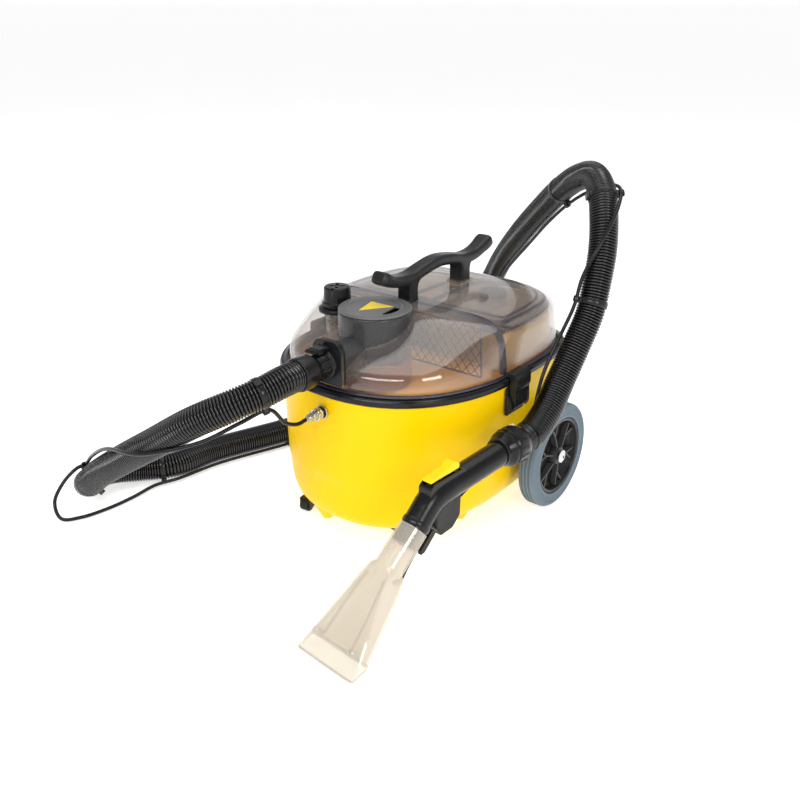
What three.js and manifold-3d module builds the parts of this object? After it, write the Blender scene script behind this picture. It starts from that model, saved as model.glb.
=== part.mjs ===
// Portable carpet cleaner: a yellow tub on two large wheels and two casters, a clear
// lift-off recovery lid, a hose with a solution line, and a hand tool with a clear nozzle.
// Millimetres, +Z up. The machine faces -Y and its hose comes down on the +X side.
import * as THREE from "three";
import { mergeVertices } from "three/addons/utils/BufferGeometryUtils.js";
import Module from "manifold-3d";

const wasm = await Module();
wasm.setup();

// ---------- driving dimensions ----------
const HALF_WIDTH = 198; // tub outline at its top edge
const HALF_LENGTH = 235.5;
const FRONT_ROUNDNESS = 2.3; // superellipse power of the nose
const REAR_ROUNDNESS = 3.78; // and of the squarer tail
const OUTLINE_POINTS = 32;
const GAP = 0.3;

const TUB_BOTTOM = 24;
const TUB_TOP = 244.7;
const TUB_WALL = 4;
const RIM_BOTTOM = TUB_TOP + GAP;
const RIM_TOP = 257;
const LID_BOTTOM = RIM_TOP + GAP;
const LID_TOP = 344;
const LID_WALL = 3;
const DECK_BOTTOM = 226;
const DECK_TOP = 230;

const WHEEL_RADIUS = 90;
const TYRE_WIDTH = 29.4;
const TYRE_INNER = 67;
const WHEEL_Y = 83;
const WHEEL_X = 221.8;
const AXLE_RADIUS = 6;

const CASTER_X = 88;
const CASTER_Y = -172;
const CASTER_TRAIL = 24;
const CASTER_RADIUS = 11;

const INLET_Y = -112; // centre of the round inlet housing
const INLET_RADIUS = 58;
const NECK_Z = 296;
const NECK_RADIUS = 23;
const NECK_FACE_Y = -226; // face where the hose connector meets the neck

const CAP_X = -87;
const CAP_Y = -102;
const CAP_BASE = 336;
const CAP_TOP = 369;
const MOTOR_X = 50;
const MOTOR_Y = 150;
const PORT_X = -30; // float valve, beside the riser
const COUPLER_X = -3;
const COUPLER_Z = 219;
const LATCH_Y = -14;
const LATCH_PIN_Z = 212;
const LATCH_PIN_X = 205.5;

const HOSE_RADIUS = 23;
const LINE_RADIUS = 3;
const LINE_OFFSET = 29.5; // solution line's distance from the hose's centreline

const TOOL_YAW = -6; // degrees, the hand tool points a little towards the machine's middle
const MOUTH = new THREE.Vector3(201, -469, 0);
const GRIP_RADIUS = 19.5;

// The part's origin is on the floor, at the centre of the box round everything but the cords.
const ORIGIN = new THREE.Vector3(13.075, -111.62, 0);

// ---------- helpers ----------
function solid(geometry) {
  const bare = geometry.index ? geometry.toNonIndexed() : geometry.clone();
  bare.deleteAttribute("normal");
  bare.deleteAttribute("uv");
  const merged = mergeVertices(bare, 1e-4);
  const triVerts = new Uint32Array(merged.index.array);
  const mesh = { numProp: 3, vertProperties: merged.attributes.position.array, triVerts };
  let made = new wasm.Manifold(new wasm.Mesh(mesh));
  if (made.volume() < 0) {
    for (let i = 0; i < triVerts.length; i += 3) {
      [triVerts[i + 1], triVerts[i + 2]] = [triVerts[i + 2], triVerts[i + 1]];
    }
    made = new wasm.Manifold(new wasm.Mesh(mesh));
  }
  return made;
}

function geometryOf(manifold) {
  const mesh = manifold.getMesh();
  const geometry = new THREE.BufferGeometry();
  geometry.setAttribute("position", new THREE.BufferAttribute(mesh.vertProperties, 3));
  geometry.setIndex(new THREE.BufferAttribute(mesh.triVerts, 1));
  return geometry;
}

function box(x0, x1, y0, y1, z0, z1) {
  const made = new THREE.BoxGeometry(x1 - x0, y1 - y0, z1 - z0);
  made.translate((x0 + x1) / 2, (y0 + y1) / 2, (z0 + z1) / 2);
  return solid(made);
}

const AXIS_TURN = {
  x: new THREE.Matrix4().makeRotationY(Math.PI / 2),
  y: new THREE.Matrix4().makeRotationX(-Math.PI / 2),
  z: new THREE.Matrix4(),
};

// A solid of revolution: outline is [radius, along] pairs, turned about the given axis.
function turned(outline, axis, centre = [0, 0, 0], segments = 12) {
  const points = outline.map(([r, along]) => new THREE.Vector2(r, along));
  const made = new THREE.LatheGeometry(points, segments);
  made.rotateX(Math.PI / 2);
  made.applyMatrix4(AXIS_TURN[axis]);
  made.translate(...centre);
  return solid(made);
}

function cylinder(radius, from, to, axis, centre, segments = 12) {
  const outline = [[0, from], [radius, from], [radius, to], [0, to]];
  return turned(outline, axis, centre, segments);
}

function ring(inner, outer, from, to, axis, centre, segments = 12) {
  const outline = [[inner, from], [outer, from], [outer, to], [inner, to], [inner, from]];
  return turned(outline, axis, centre, segments);
}

// A flat outline in the XY plane, thickened along Z.
function plate(points, z0, z1) {
  const shape = new THREE.Shape(points.map(([x, y]) => new THREE.Vector2(x, y)));
  const made = new THREE.ExtrudeGeometry(shape, { depth: z1 - z0, bevelEnabled: false });
  made.translate(0, 0, z0);
  return solid(made);
}

function union(...parts) {
  return parts.reduce((all, next) => all.add(next));
}

// The tub's outline at one height, drawn in by side, front and rear insets.
function outline([z, side, front, rear]) {
  const points = [];
  for (let i = 0; i < OUTLINE_POINTS; i += 1) {
    const angle = (2 * Math.PI * i) / OUTLINE_POINTS;
    const c = Math.cos(angle);
    const s = Math.sin(angle);
    const power = s < 0 ? FRONT_ROUNDNESS : REAR_ROUNDNESS;
    const length = HALF_LENGTH - (s < 0 ? front : rear);
    const scale = (Math.abs(c) ** power + Math.abs(s) ** power) ** (-1 / power);
    points.push([(HALF_WIDTH - side) * scale * c, length * scale * s, z]);
  }
  return points;
}

// A closed skin through a stack of outlines, each [z, side inset, front inset, rear inset].
function loft(levels) {
  const rings = levels.map(outline);
  const positions = rings.flat(2);
  const faces = [];
  const n = OUTLINE_POINTS;
  for (let level = 0; level + 1 < rings.length; level += 1) {
    for (let i = 0; i < n; i += 1) {
      const a = level * n + i;
      const b = level * n + ((i + 1) % n);
      faces.push(a, b, b + n, a, b + n, a + n);
    }
  }
  const bottom = positions.length / 3;
  positions.push(0, 0, levels[0][0], 0, 0, levels[levels.length - 1][0]);
  const lastRing = (rings.length - 1) * n;
  for (let i = 0; i < n; i += 1) {
    const next = (i + 1) % n;
    faces.push(bottom, next, i, bottom + 1, lastRing + i, lastRing + next);
  }
  const made = new THREE.BufferGeometry();
  made.setAttribute("position", new THREE.Float32BufferAttribute(positions, 3));
  made.setIndex(faces);
  return solid(made);
}

// A round or oval bar along a smooth curve through the given points.
function bar(points, halfWide, halfHigh, sides, steps) {
  const section = new THREE.Shape();
  for (let i = 0; i < sides; i += 1) {
    const angle = (2 * Math.PI * i) / sides;
    const x = halfHigh * Math.cos(angle);
    const y = halfWide * Math.sin(angle);
    if (i === 0) section.moveTo(x, y);
    else section.lineTo(x, y);
  }
  const curve = new THREE.CatmullRomCurve3(points.map((p) => new THREE.Vector3(...p)), false, "centripetal");
  return solid(new THREE.ExtrudeGeometry(section, { steps, extrudePath: curve, bevelEnabled: false }));
}

function moved(manifold, matrix) {
  return solid(geometryOf(manifold).applyMatrix4(matrix));
}

const machine = new THREE.Group();

function add(name, shape, colour, roughness, metalness = 0, opacity = 1) {
  const material = new THREE.MeshStandardMaterial({ color: colour, roughness, metalness });
  material.transparent = opacity < 1;
  material.opacity = opacity;
  const mesh = new THREE.Mesh(geometryOf(shape), material);
  mesh.name = name;
  machine.add(mesh);
}

const YELLOW = 0xf5c800;
const BLACK = 0x17181a;
const DARK_GREY = 0x3c3d3f;
const SMOKE = 0x8a7868;
const CLEAR = 0xe9e2d2;
const NICKEL = 0xb9b4a6;
const STEEL = 0xa8abad;
const TYRE_GREY = 0x6f828f;
const WHITE_TANK = 0xd9d9d2;

// ---------- tub ----------
const TUB_LEVELS = [
  [TUB_BOTTOM, 40, 26, 26], [30, 30, 16, 16], [42, 20, 9, 9], [60, 13, 5, 5],
  [100, 7, 3.2, 3.2], [TUB_TOP, 1, 1, 1],
];
const insetBy = (levels, inset, lift) =>
  levels.map(([z, side, front, rear]) => [z + lift, side + inset, front + inset, rear + inset]);

const tubOuter = loft(TUB_LEVELS);
const tubClearance = loft(insetBy(TUB_LEVELS, -GAP, 0));
const tubInner = loft([...insetBy(TUB_LEVELS.slice(0, -1), TUB_WALL, 4), [TUB_TOP + 6, 5, 5, 5]]);

// Two short moulded feet under the floor.
const FEET = [[-34, -200], [139, -68]];
const EXHAUST = { x0: 0, x1: 92, z0: 118, z1: 176 };
let tub = tubOuter.subtract(tubInner);
for (const [x, y] of FEET) {
  tub = tub.add(turned([[0, 9], [7, 9], [9, 12], [11, 27], [0, 27]], "z", [x, y, 0], 20));
}
tub = tub.subtract(cylinder(AXLE_RADIUS + GAP, -210, 210, "x", [0, WHEEL_Y, WHEEL_RADIUS]));
tub = tub.subtract(cylinder(7 + GAP, -250, -210, "y", [COUPLER_X, 0, COUPLER_Z], 20));
tub = tub.subtract(box(EXHAUST.x0 + 8, EXHAUST.x1 - 8, 200, 250, EXHAUST.z0 + 8, EXHAUST.z1 - 8));
for (const side of [-1, 1]) {
  tub = tub.subtract(cylinder(4 + GAP, 10, 60, "z", [side * CASTER_X, CASTER_Y, 0], 16));
}
add("tub_shell", tub, YELLOW, 0.35);

const rimOuter = loft([[RIM_BOTTOM, -1, -1, -1], [RIM_BOTTOM + 3, -3, -3, -3],
  [RIM_TOP - 3, -3, -3, -3], [RIM_TOP, -1, -1, -1]]);
const rimInner = loft([[RIM_BOTTOM - 4, 14, 17, 14], [RIM_TOP + 4, 14, 17, 14]]);
add("rim_band", rimOuter.subtract(rimInner), BLACK, 0.3);

// ---------- inside the tub ----------
const deckHoles = union(
  cylinder(22, 200, 260, "z", [CAP_X, CAP_Y, 0], 12),
  cylinder(25.2, 200, 260, "z", [MOTOR_X, MOTOR_Y, 0], 16),
);
add("tank_deck", loft([[DECK_BOTTOM, 7, 7, 7], [DECK_TOP, 7, 7, 7]]).subtract(deckHoles), 0xd98a2b, 0.5);

const tankLevels = (inset, from, to) => [[from, 46 + inset, 32 + inset, 32],
  [46, 26 + inset, 15 + inset, 15], [84, 15 + inset, 10 + inset, 10], [to, 10 + inset, 8 + inset, 8]];
const frontHalf = (rear) => box(-230, 230, -260, rear, 0, 300);
const tankOuter = loft(tankLevels(0, 31, 205)).intersect(frontHalf(-15));
const tankInner = loft(tankLevels(3, 34, 215)).intersect(frontHalf(-18));
const tankOutlet = cylinder(5, -20, -12, "y", [-90, 0, 54], 16);
add("solution_tank", tankOuter.subtract(tankInner).subtract(tankOutlet), WHITE_TANK, 0.45);

// Pump under the axle line, with its plunger in an open bore at the rear.
const pump = union(
  box(-116, -64, 34, 128, 36, 74),
  cylinder(5, 22, 35, "y", [-90, 0, 54], 16),
  cylinder(6, 73, 112, "z", [-90, 48, 0], 16),
);
const pumpBore = cylinder(8.4, 92, 140, "y", [-90, 0, 55], 24);
add("pump_body", pump.subtract(pumpBore), 0x2b3a4c, 0.5);
add("pump_plunger", cylinder(8, 98, 136, "y", [-90, 0, 55], 24), STEEL, 0.3, 0.9);
add("suction_line", bar([[-90, -12, 54], [-90, 0, 54], [-90, 10, 54], [-90, 21.6, 54]], 4.5, 4.5, 10, 4),
  0xd0d0c8, 0.4);
const SUPPLY_ROUTE = [[COUPLER_X, -221.5, COUPLER_Z], [COUPLER_X, -150, 218], [-16, -70, 217],
  [-48, 0, 213], [-76, 30, 190], [-88, 45, 155], [-90, 48, 112.4]];
add("supply_line", bar(SUPPLY_ROUTE, 3.5, 3.5, 6, 16), 0x2f3133, 0.5);

// Vacuum motor: cradle, frame, turning rotor with its impeller, fan housing and riser.
const motorAt = [MOTOR_X, MOTOR_Y, 0];
let cradle = ring(38, 56, 52, 57, "z", motorAt);
for (const turn of [0, 1, 2]) {
  const angle = (2 * Math.PI * turn) / 3 + 0.4;
  const x = MOTOR_X + 46 * Math.cos(angle);
  const y = MOTOR_Y + 46 * Math.sin(angle);
  cradle = cradle.add(cylinder(6, 29, 54, "z", [x, y, 0], 14));
}
add("motor_cradle", cradle, STEEL, 0.45, 0.8);
add("motor_frame", turned([[6, 57.3], [52, 57.3], [52, 138], [45, 138], [45, 64], [6, 64], [6, 57.3]],
  "z", motorAt, 16), 0x555a5e, 0.4, 0.6);
const rotorProfile = [[0, 66], [5, 66], [5, 72], [38, 72], [38, 128], [5, 128], [5, 162], [54, 162],
  [54, 164], [20, 166], [12, 186], [0, 188]];
let rotor = turned(rotorProfile, "z", motorAt, 16);
for (let blade = 0; blade < 6; blade += 1) {
  const geometry = geometryOf(box(10, 53, -1, 1, 163, 184));
  geometry.rotateZ((Math.PI * blade) / 3);
  geometry.translate(...motorAt);
  rotor = rotor.add(solid(geometry));
}
add("motor_rotor", rotor, STEEL, 0.35, 0.8);
const fanProfile = [[7, 142], [60, 142], [60, 200], [22, 200], [22, 196], [56, 196], [56, 146],
  [7, 146], [7, 142]];
const fanOutlet = box(MOTOR_X - 26, MOTOR_X + 26, MOTOR_Y + 40, MOTOR_Y + 70, 150, 176);
add("fan_housing", turned(fanProfile, "z", motorAt, 16).subtract(fanOutlet), DARK_GREY, 0.5);
add("vacuum_riser", ring(21, 24, 200.4, 326, "z", motorAt), 0x6a5b4c, 0.35, 0, 0.7);

// ---------- rear panel ----------
let grille = box(EXHAUST.x0, EXHAUST.x1, 220, 238.5, EXHAUST.z0, EXHAUST.z1).subtract(tubClearance);
for (let slot = 0; slot < 5; slot += 1) {
  const z = EXHAUST.z0 + 12 + slot * 8;
  grille = grille.subtract(box(EXHAUST.x0 + 12, EXHAUST.x1 - 12, 200, 260, z, z + 4));
}
add("exhaust_grille", grille, BLACK, 0.45);

const ROCKER_X = [-82, -46];
const ROCKER_Z = 205;
let bezel = box(-102, -26, 215, 242, ROCKER_Z - 19, ROCKER_Z + 19).subtract(tubClearance);
for (const x of ROCKER_X) {
  bezel = bezel.subtract(box(x - 9, x + 9, 236.5, 250, ROCKER_Z - 13, ROCKER_Z + 13));
}
add("switch_bezel", bezel, BLACK, 0.4);
ROCKER_X.forEach((x, i) => {
  const side = [[239, -11.5], [244.4, -11.5], [242.2, 0], [244.4, 11.5], [239, 11.5]];
  const rocker = plate(side, x - 8.2, x + 8.2);
  const geometry = geometryOf(rocker);
  geometry.applyMatrix4(new THREE.Matrix4().set(0, 0, 1, 0, 1, 0, 0, 0, 0, 1, 0, ROCKER_Z, 0, 0, 0, 1));
  add(i === 0 ? "rocker_vacuum" : "rocker_pump", solid(geometry), i === 0 ? 0xb01818 : 0x202224, 0.35);
});
add("power_gland", turned([[4.5, 236.2], [13, 236.2], [13, 240], [9, 241], [7.5, 250], [4.5, 250],
  [4.5, 236.2]], "y", [-64, 0, 150], 16), BLACK, 0.5);

// ---------- wheels ----------
add("rear_axle", cylinder(AXLE_RADIUS, -238.2, 238.2, "x", [0, WHEEL_Y, WHEEL_RADIUS], 24), STEEL, 0.3, 0.9);
const tyreProfile = [[TYRE_INNER, -12], [73, -14.7], [84, -14.7], [WHEEL_RADIUS, -8],
  [WHEEL_RADIUS, 8], [84, 14.7], [73, 14.7], [TYRE_INNER, 12], [TYRE_INNER, -12]];
const hubProfile = [[AXLE_RADIUS + GAP, -14], [17, -14], [17, -3], [56, -3], [58, -12], [66.6, -12],
  [66.6, 12], [58, 12], [56, 1], [17, 1], [15, 13.5], [AXLE_RADIUS + GAP, 13.5], [AXLE_RADIUS + GAP, -14]];
for (const [name, side] of [["left", -1], ["right", 1]]) {
  const at = new THREE.Matrix4().makeScale(side, 1, 1);
  at.setPosition(side * WHEEL_X, WHEEL_Y, WHEEL_RADIUS);
  let hub = turned(hubProfile, "x", [0, 0, 0], 24);
  for (let spoke = 0; spoke < 6; spoke += 1) {
    const geometry = geometryOf(box(0, 9, -2.5, 2.5, 15, 60));
    geometry.rotateX((Math.PI * spoke) / 3);
    hub = hub.add(solid(geometry));
  }
  add(`wheel_hub_${name}`, moved(hub, at), BLACK, 0.4);
  add(`wheel_tyre_${name}`, moved(turned(tyreProfile, "x", [0, 0, 0], 24), at), TYRE_GREY, 0.8);
  const cap = turned([[0, 16.7], [8, 16.7], [8, 18.4], [5.5, 20.6], [0, 21.4]], "x", [0, 0, 0], 12);
  add(`axle_cap_${name}`, moved(cap, at), STEEL, 0.25, 0.9);
}

// ---------- casters ----------
function caster(name, x, turnDegrees) {
  const place = new THREE.Matrix4().makeRotationZ(THREE.MathUtils.degToRad(turnDegrees));
  place.setPosition(x, CASTER_Y, 0);
  let fork = union(
    cylinder(4, 20, 30.4, "z", [0, 0, 0], 12),
    cylinder(10, 19.5, 23.4, "z", [0, 0, 0], 20),
    box(-10, 10, -CASTER_TRAIL - 6, 6, 22.4 - 2.5, 23.4),
    box(-10, -7.5, -CASTER_TRAIL - 6, 0, 7, 23),
    box(7.5, 10, -CASTER_TRAIL - 6, 0, 7, 23),
    cylinder(2, -9, 9, "x", [0, -CASTER_TRAIL, CASTER_RADIUS], 12),
  );
  fork = fork.subtract(box(-7.5, 7.5, -CASTER_TRAIL - 13, -CASTER_TRAIL + 13, 16, 22.3));
  add(`caster_fork_${name}`, moved(fork, place), BLACK, 0.5);
  const wheel = ring(2.3, CASTER_RADIUS, -7, 7, "x", [0, -CASTER_TRAIL, CASTER_RADIUS], 16);
  add(`caster_wheel_${name}`, moved(wheel, place), 0x222324, 0.7);
}
caster("left", -CASTER_X, 8);
caster("right", CASTER_X, 156);

// ---------- solution coupler on the nose ----------
const noseY = -(HALF_LENGTH - 1);
const couplerProfile = [[0, noseY - 24], [5, noseY - 24], [7, noseY - 22], [7, noseY - 3.2],
  [11, noseY - 3.2], [11, noseY - 0.4], [7, noseY - 0.4], [7, noseY + 12.6], [0, noseY + 12.6]];
add("solution_coupler", turned(couplerProfile, "y", [COUPLER_X, 0, COUPLER_Z], 16), NICKEL, 0.3, 0.9);
const sleeveProfile = [[7.3, noseY - 9], [9.4, noseY - 9], [10.2, noseY - 11], [9.4, noseY - 13],
  [9.4, noseY - 18], [7.3, noseY - 18], [7.3, noseY - 9]];
add("coupler_sleeve", turned(sleeveProfile, "y", [COUPLER_X, 0, COUPLER_Z], 16), NICKEL, 0.25, 0.9);

// ---------- lid ----------
const LID_LEVELS = [
  [LID_BOTTOM, 10, 13, 10], [272, 11, 15, 11], [284, 12, 20, 12], [293, 13, 34, 13], [303, 14, 58, 14],
  [315, 16, 88, 16], [327, 23, 116, 22], [336, 38, 138, 36], [341.5, 64, 154, 60], [LID_TOP, 96, 168, 96],
];
const inletAt = [0, INLET_Y, 0];
const capAt = [CAP_X, CAP_Y, 0];
let dome = loft(LID_LEVELS).subtract(loft([[LID_BOTTOM - 6, 13, 16, 13],
  ...insetBy(LID_LEVELS.slice(1), LID_WALL, -LID_WALL)]));
dome = dome.subtract(cylinder(INLET_RADIUS + GAP + 0.1, 270, 360, "z", inletAt, 28));
dome = dome.subtract(cylinder(NECK_RADIUS + GAP + 0.1, -240, -150, "y", [0, 0, NECK_Z], 20));
dome = dome.subtract(cylinder(19.4, 250, 360, "z", capAt, 20));
dome = dome.subtract(cylinder(26.4, CAP_BASE - 8, 360, "z", capAt, 20));
add("lid_dome", dome, SMOKE, 0.15, 0, 0.5);

const neck = cylinder(NECK_RADIUS, NECK_FACE_Y + 1, -160, "y", [0, 0, NECK_Z], 20);
const flange = union(
  cylinder(29, NECK_FACE_Y, NECK_FACE_Y + 3.2, "y", [0, 0, NECK_Z + 2], 20),
  box(-29, 29, NECK_FACE_Y, NECK_FACE_Y + 3.2, 268, NECK_Z + 2),
  box(27, 30, NECK_FACE_Y, NECK_FACE_Y + 3.2, 258.5, 310),
  box(-5, 5, NECK_FACE_Y, NECK_FACE_Y + 3.2, 322, 333),
);
let housing = union(cylinder(INLET_RADIUS, 272, 350.7, "z", inletAt, 28), neck, flange);
housing = housing.subtract(cylinder(INLET_RADIUS - 4, 270, 347.2, "z", inletAt, 28));
housing = housing.subtract(cylinder(46, 340, 356, "z", inletAt, 28));
housing = housing.subtract(cylinder(18.5, NECK_FACE_Y - 5, -150, "y", [0, 0, NECK_Z], 20));
add("inlet_housing", housing, DARK_GREY, 0.4);
const coverPort = plate([[18, 4], [44, -4], [44, 22], [30, 30]], 340, 360);
const cover = turned([[0, 351], [INLET_RADIUS, 351], [INLET_RADIUS, 353.5], [INLET_RADIUS - 1.5, 354.5],
  [52, 354.5], [51, 353.4], [0, 353.4]], "z", inletAt, 28);
add("inlet_cover", cover.subtract(moved(coverPort, new THREE.Matrix4().setPosition(0, INLET_Y, 0))),
  0x5a5a5b, 0.35);
const inletChamber = ring(INLET_RADIUS - 4, INLET_RADIUS, 236, 271.6, "z", inletAt, 24);
add("inlet_chamber", inletChamber, 0x7a4a28, 0.3, 0, 0.6);

const fillerNeck = turned([[16, 262], [19, 262], [19, CAP_BASE - 7], [26, CAP_BASE - 7], [26, CAP_BASE],
  [19, CAP_BASE], [19, CAP_BASE + 6], [16, CAP_BASE + 6], [16, 262]], "z", capAt, 20);
add("filler_neck", fillerNeck, SMOKE, 0.2, 0, 0.6);
const skirt = CAP_BASE + GAP + 0.1;
let fillerCap = turned([[0, skirt + 6], [19.4, skirt + 6], [19.4, skirt], [24, skirt], [23.4, skirt + 9],
  [21.2, CAP_TOP - 1.5], [19.5, CAP_TOP], [0, CAP_TOP]], "z", capAt, 20);
fillerCap = fillerCap.subtract(box(CAP_X - 13, CAP_X + 13, CAP_Y - 3, CAP_Y + 3, CAP_TOP - 5, CAP_TOP + 5));
fillerCap = fillerCap.subtract(box(CAP_X - 3, CAP_X + 3, CAP_Y - 13, CAP_Y + 13, CAP_TOP - 5, CAP_TOP + 5));
const pointer = [[CAP_X - 4, CAP_Y - 15], [CAP_X + 4, CAP_Y - 15], [CAP_X, CAP_Y - 23]];
fillerCap = fillerCap.subtract(plate(pointer, CAP_TOP - 3, CAP_TOP + 5));
add("filler_cap", fillerCap, BLACK, 0.45);

// Cross wall and screen inside the lid, and the moulded chamber behind them.
const insideLevels = [[240, 10, 13, 10], ...LID_LEVELS.slice(1)];
const lidInside = (inset) => loft(insetBy(insideLevels, LID_WALL + inset, -LID_WALL));
const crossWall = lidInside(0.6).intersect(box(-185, 185, -24, -20, 258, 345));
add("lid_cross_wall", crossWall, 0x4a3c34, 0.3, 0, 0.7);
let screen = lidInside(1.2).intersect(box(-150, 150, -34, -31.6, 246, 330));
for (const x of [-112, -56, 0, 56, 112]) {
  screen = screen.subtract(box(x - 22, x + 22, -40, -28, 256, 312));
}
add("lid_screen", screen, 0x5b5049, 0.4);
const chamberOuter = lidInside(1).intersect(box(-178, 178, 12, 214, 318, 345));
const chamberInner = lidInside(3.5).intersect(box(-175.5, 175.5, 14.5, 211.5, 310, 345));
add("rear_plenum", chamberOuter.subtract(chamberInner), 0x5f5148, 0.25, 0, 0.6);

// The chamber's floor: the riser comes up through it, and air enters by the float valve's port.
const PORT_RADIUS = 13.4;
const portAt = [PORT_X, MOTOR_Y, 0];
const plenumFloor = lidInside(1).intersect(box(-178, 178, 12, 214, 315, 318 - GAP))
  .subtract(cylinder(24.6, 310, 325, "z", motorAt, 20))
  .subtract(cylinder(PORT_RADIUS, 310, 325, "z", portAt, 16));
add("plenum_floor", plenumFloor, 0x5f5148, 0.25, 0, 0.6);

// Float valve: a cage under the port, and a ball that rises in it and shuts the port.
let cage = union(
  ring(PORT_RADIUS, 22, 312, 315 - GAP, "z", portAt, 16),
  ring(6, 22, 280, 283, "z", portAt, 16),
);
for (const angle of [0.5, 2.6, 4.7]) {
  const post = [PORT_X + 19 * Math.cos(angle), MOTOR_Y + 19 * Math.sin(angle), 0];
  cage = cage.add(cylinder(2, 282, 313, "z", post, 8));
}
add("float_cage", cage, 0x303234, 0.4);
const floatBall = new THREE.SphereGeometry(15, 16, 10);
floatBall.translate(PORT_X, MOTOR_Y, 297.2);
add("float_ball", solid(floatBall), 0xe8e4d8, 0.5);

// Handle: two posts and an arched grip whose ends sweep up past the posts.
const gripPath = [[-103, 399], [-86, 390], [-60, 382.5], [-28, 381.5], [4, 388], [44, 393.5], [84, 389.5],
  [118, 382.5], [150, 383.5], [176, 391], [200, 402]].map(([y, z]) => [0, y, z]);
const handle = union(
  bar(gripPath, 13, 8.5, 10, 16),
  box(-13, 13, -38, -18.5, 344.4, 382),
  box(-13, 13, 107.5, 131, 344.4, 383),
);
add("carry_handle", handle, DARK_GREY, 0.4);

// ---------- latches ----------
for (const [name, side] of [["left", -1], ["right", 1]]) {
  const mirror = new THREE.Matrix4().makeScale(side, 1, 1);
  const pinAt = [LATCH_PIN_X, 0, LATCH_PIN_Z];
  const y0 = LATCH_Y - 20;
  const y1 = LATCH_Y + 20;
  let base = union(
    box(197.6, 200.8, y0 - 4, y1 + 4, 198, 240),
    box(198, 209, y0 - 4, y0 - 0.4, 206, 218),
    box(198, 209, y1 + 0.4, y1 + 4, 206, 218),
  );
  base = base.add(cylinder(2.4, y0 - 3, y1 + 3, "y", pinAt, 14));
  add(`latch_base_${name}`, moved(base, mirror), BLACK, 0.45);
  let latch = union(
    box(201.4, 210, y0, y1, 209, 264),
    box(191.5, 206, y0 + 3, y1 - 3, 259.5, 266),
    box(205, 212.5, y0 + 3, y1 - 3, 214, 236),
  );
  for (const z of [217, 222, 227]) {
    latch = latch.subtract(box(211.4, 214, y0, y1, z, z + 2));
  }
  // Its heel is cut away so that it clears the base when it swings out.
  latch = latch.subtract(box(200, 203.4, y0 - 1, y1 + 1, 208, 210.8));
  latch = latch.subtract(cylinder(2.9, y0 - 10, y1 + 10, "y", pinAt, 16));
  add(`latch_${name}`, moved(latch, mirror), BLACK, 0.4);
}

// ---------- hose connector ----------
const connectorProfile = [[17, 0], [24, 0], [24, 7], [20, 9], [20, 34], [25.5, 38], [25.5, 66], [17, 66],
  [17, 0]];
const connectorStart = NECK_FACE_Y - GAP;
const connectorBody = union(
  turned(connectorProfile.map(([r, d]) => [r, connectorStart - d]), "y", [0, 0, NECK_Z], 20),
  box(-4, 4, connectorStart - 24, connectorStart - 16, 312, 320),
);
add("hose_connector", connectorBody, BLACK, 0.35);
let lockTab = union(
  box(-9, 9, connectorStart - 36, connectorStart - 2, 321, 325.5),
  box(-9, -5, connectorStart - 25, connectorStart - 15, 314.5, 323),
  box(5, 9, connectorStart - 25, connectorStart - 15, 314.5, 323),
);
lockTab = lockTab.subtract(cylinder(22.4, -300, -200, "y", [0, 0, NECK_Z], 20));
add("connector_lock", lockTab, BLACK, 0.4);

// ---------- hose, solution line and clips ----------
const HOSE_ROUTE = [
  [0, connectorStart - 66 - GAP, NECK_Z], [0, -316, 296], [-9, -349, 288], [-31, -388, 275],
  [-76, -424, 249], [-140, -444, 206], [-215, -447, 158], [-290, -442, 108], [-345, -431, 67],
  [-385, -408, 44], [-411, -355, 32], [-390, -306, 24], [-354, -258, 24], [-342, -178, 24],
  [-291, -20, 24], [-277, 60, 24], [-270, 150, 24], [-266, 240, 24], [-262, 330, 27], [-248, 408, 52],
  [-222, 458, 106], [-188, 478, 176], [-148, 466, 244], [-104, 433, 301], [-35, 382, 373],
  [32, 343, 437], [79, 317, 478], [123, 290, 507], [169, 255, 521], [205, 218, 505], [226, 189, 474],
  [242, 162, 427], [249, 138, 381], [252, 116, 336], [248, 84, 287], [245, 46, 240], [247, 5, 204],
  [246.1, -36, 182], [244.4, -55, 179.4], [243, -68.6, 179],
];
add("vacuum_hose", bar(HOSE_ROUTE, HOSE_RADIUS, HOSE_RADIUS, 8, 52), BLACK, 0.3);

// ---------- hand tool ----------
// Its own axes: x across the mouth, y back from the mouth, z up. The mouth's front lip is the origin.
const toolPlace = new THREE.Matrix4().makeRotationZ(THREE.MathUtils.degToRad(TOOL_YAW));
toolPlace.setPosition(MOUTH);
const toolPoint = (x, y, z) => new THREE.Vector3(x, y, z).applyMatrix4(toolPlace).toArray();

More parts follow.
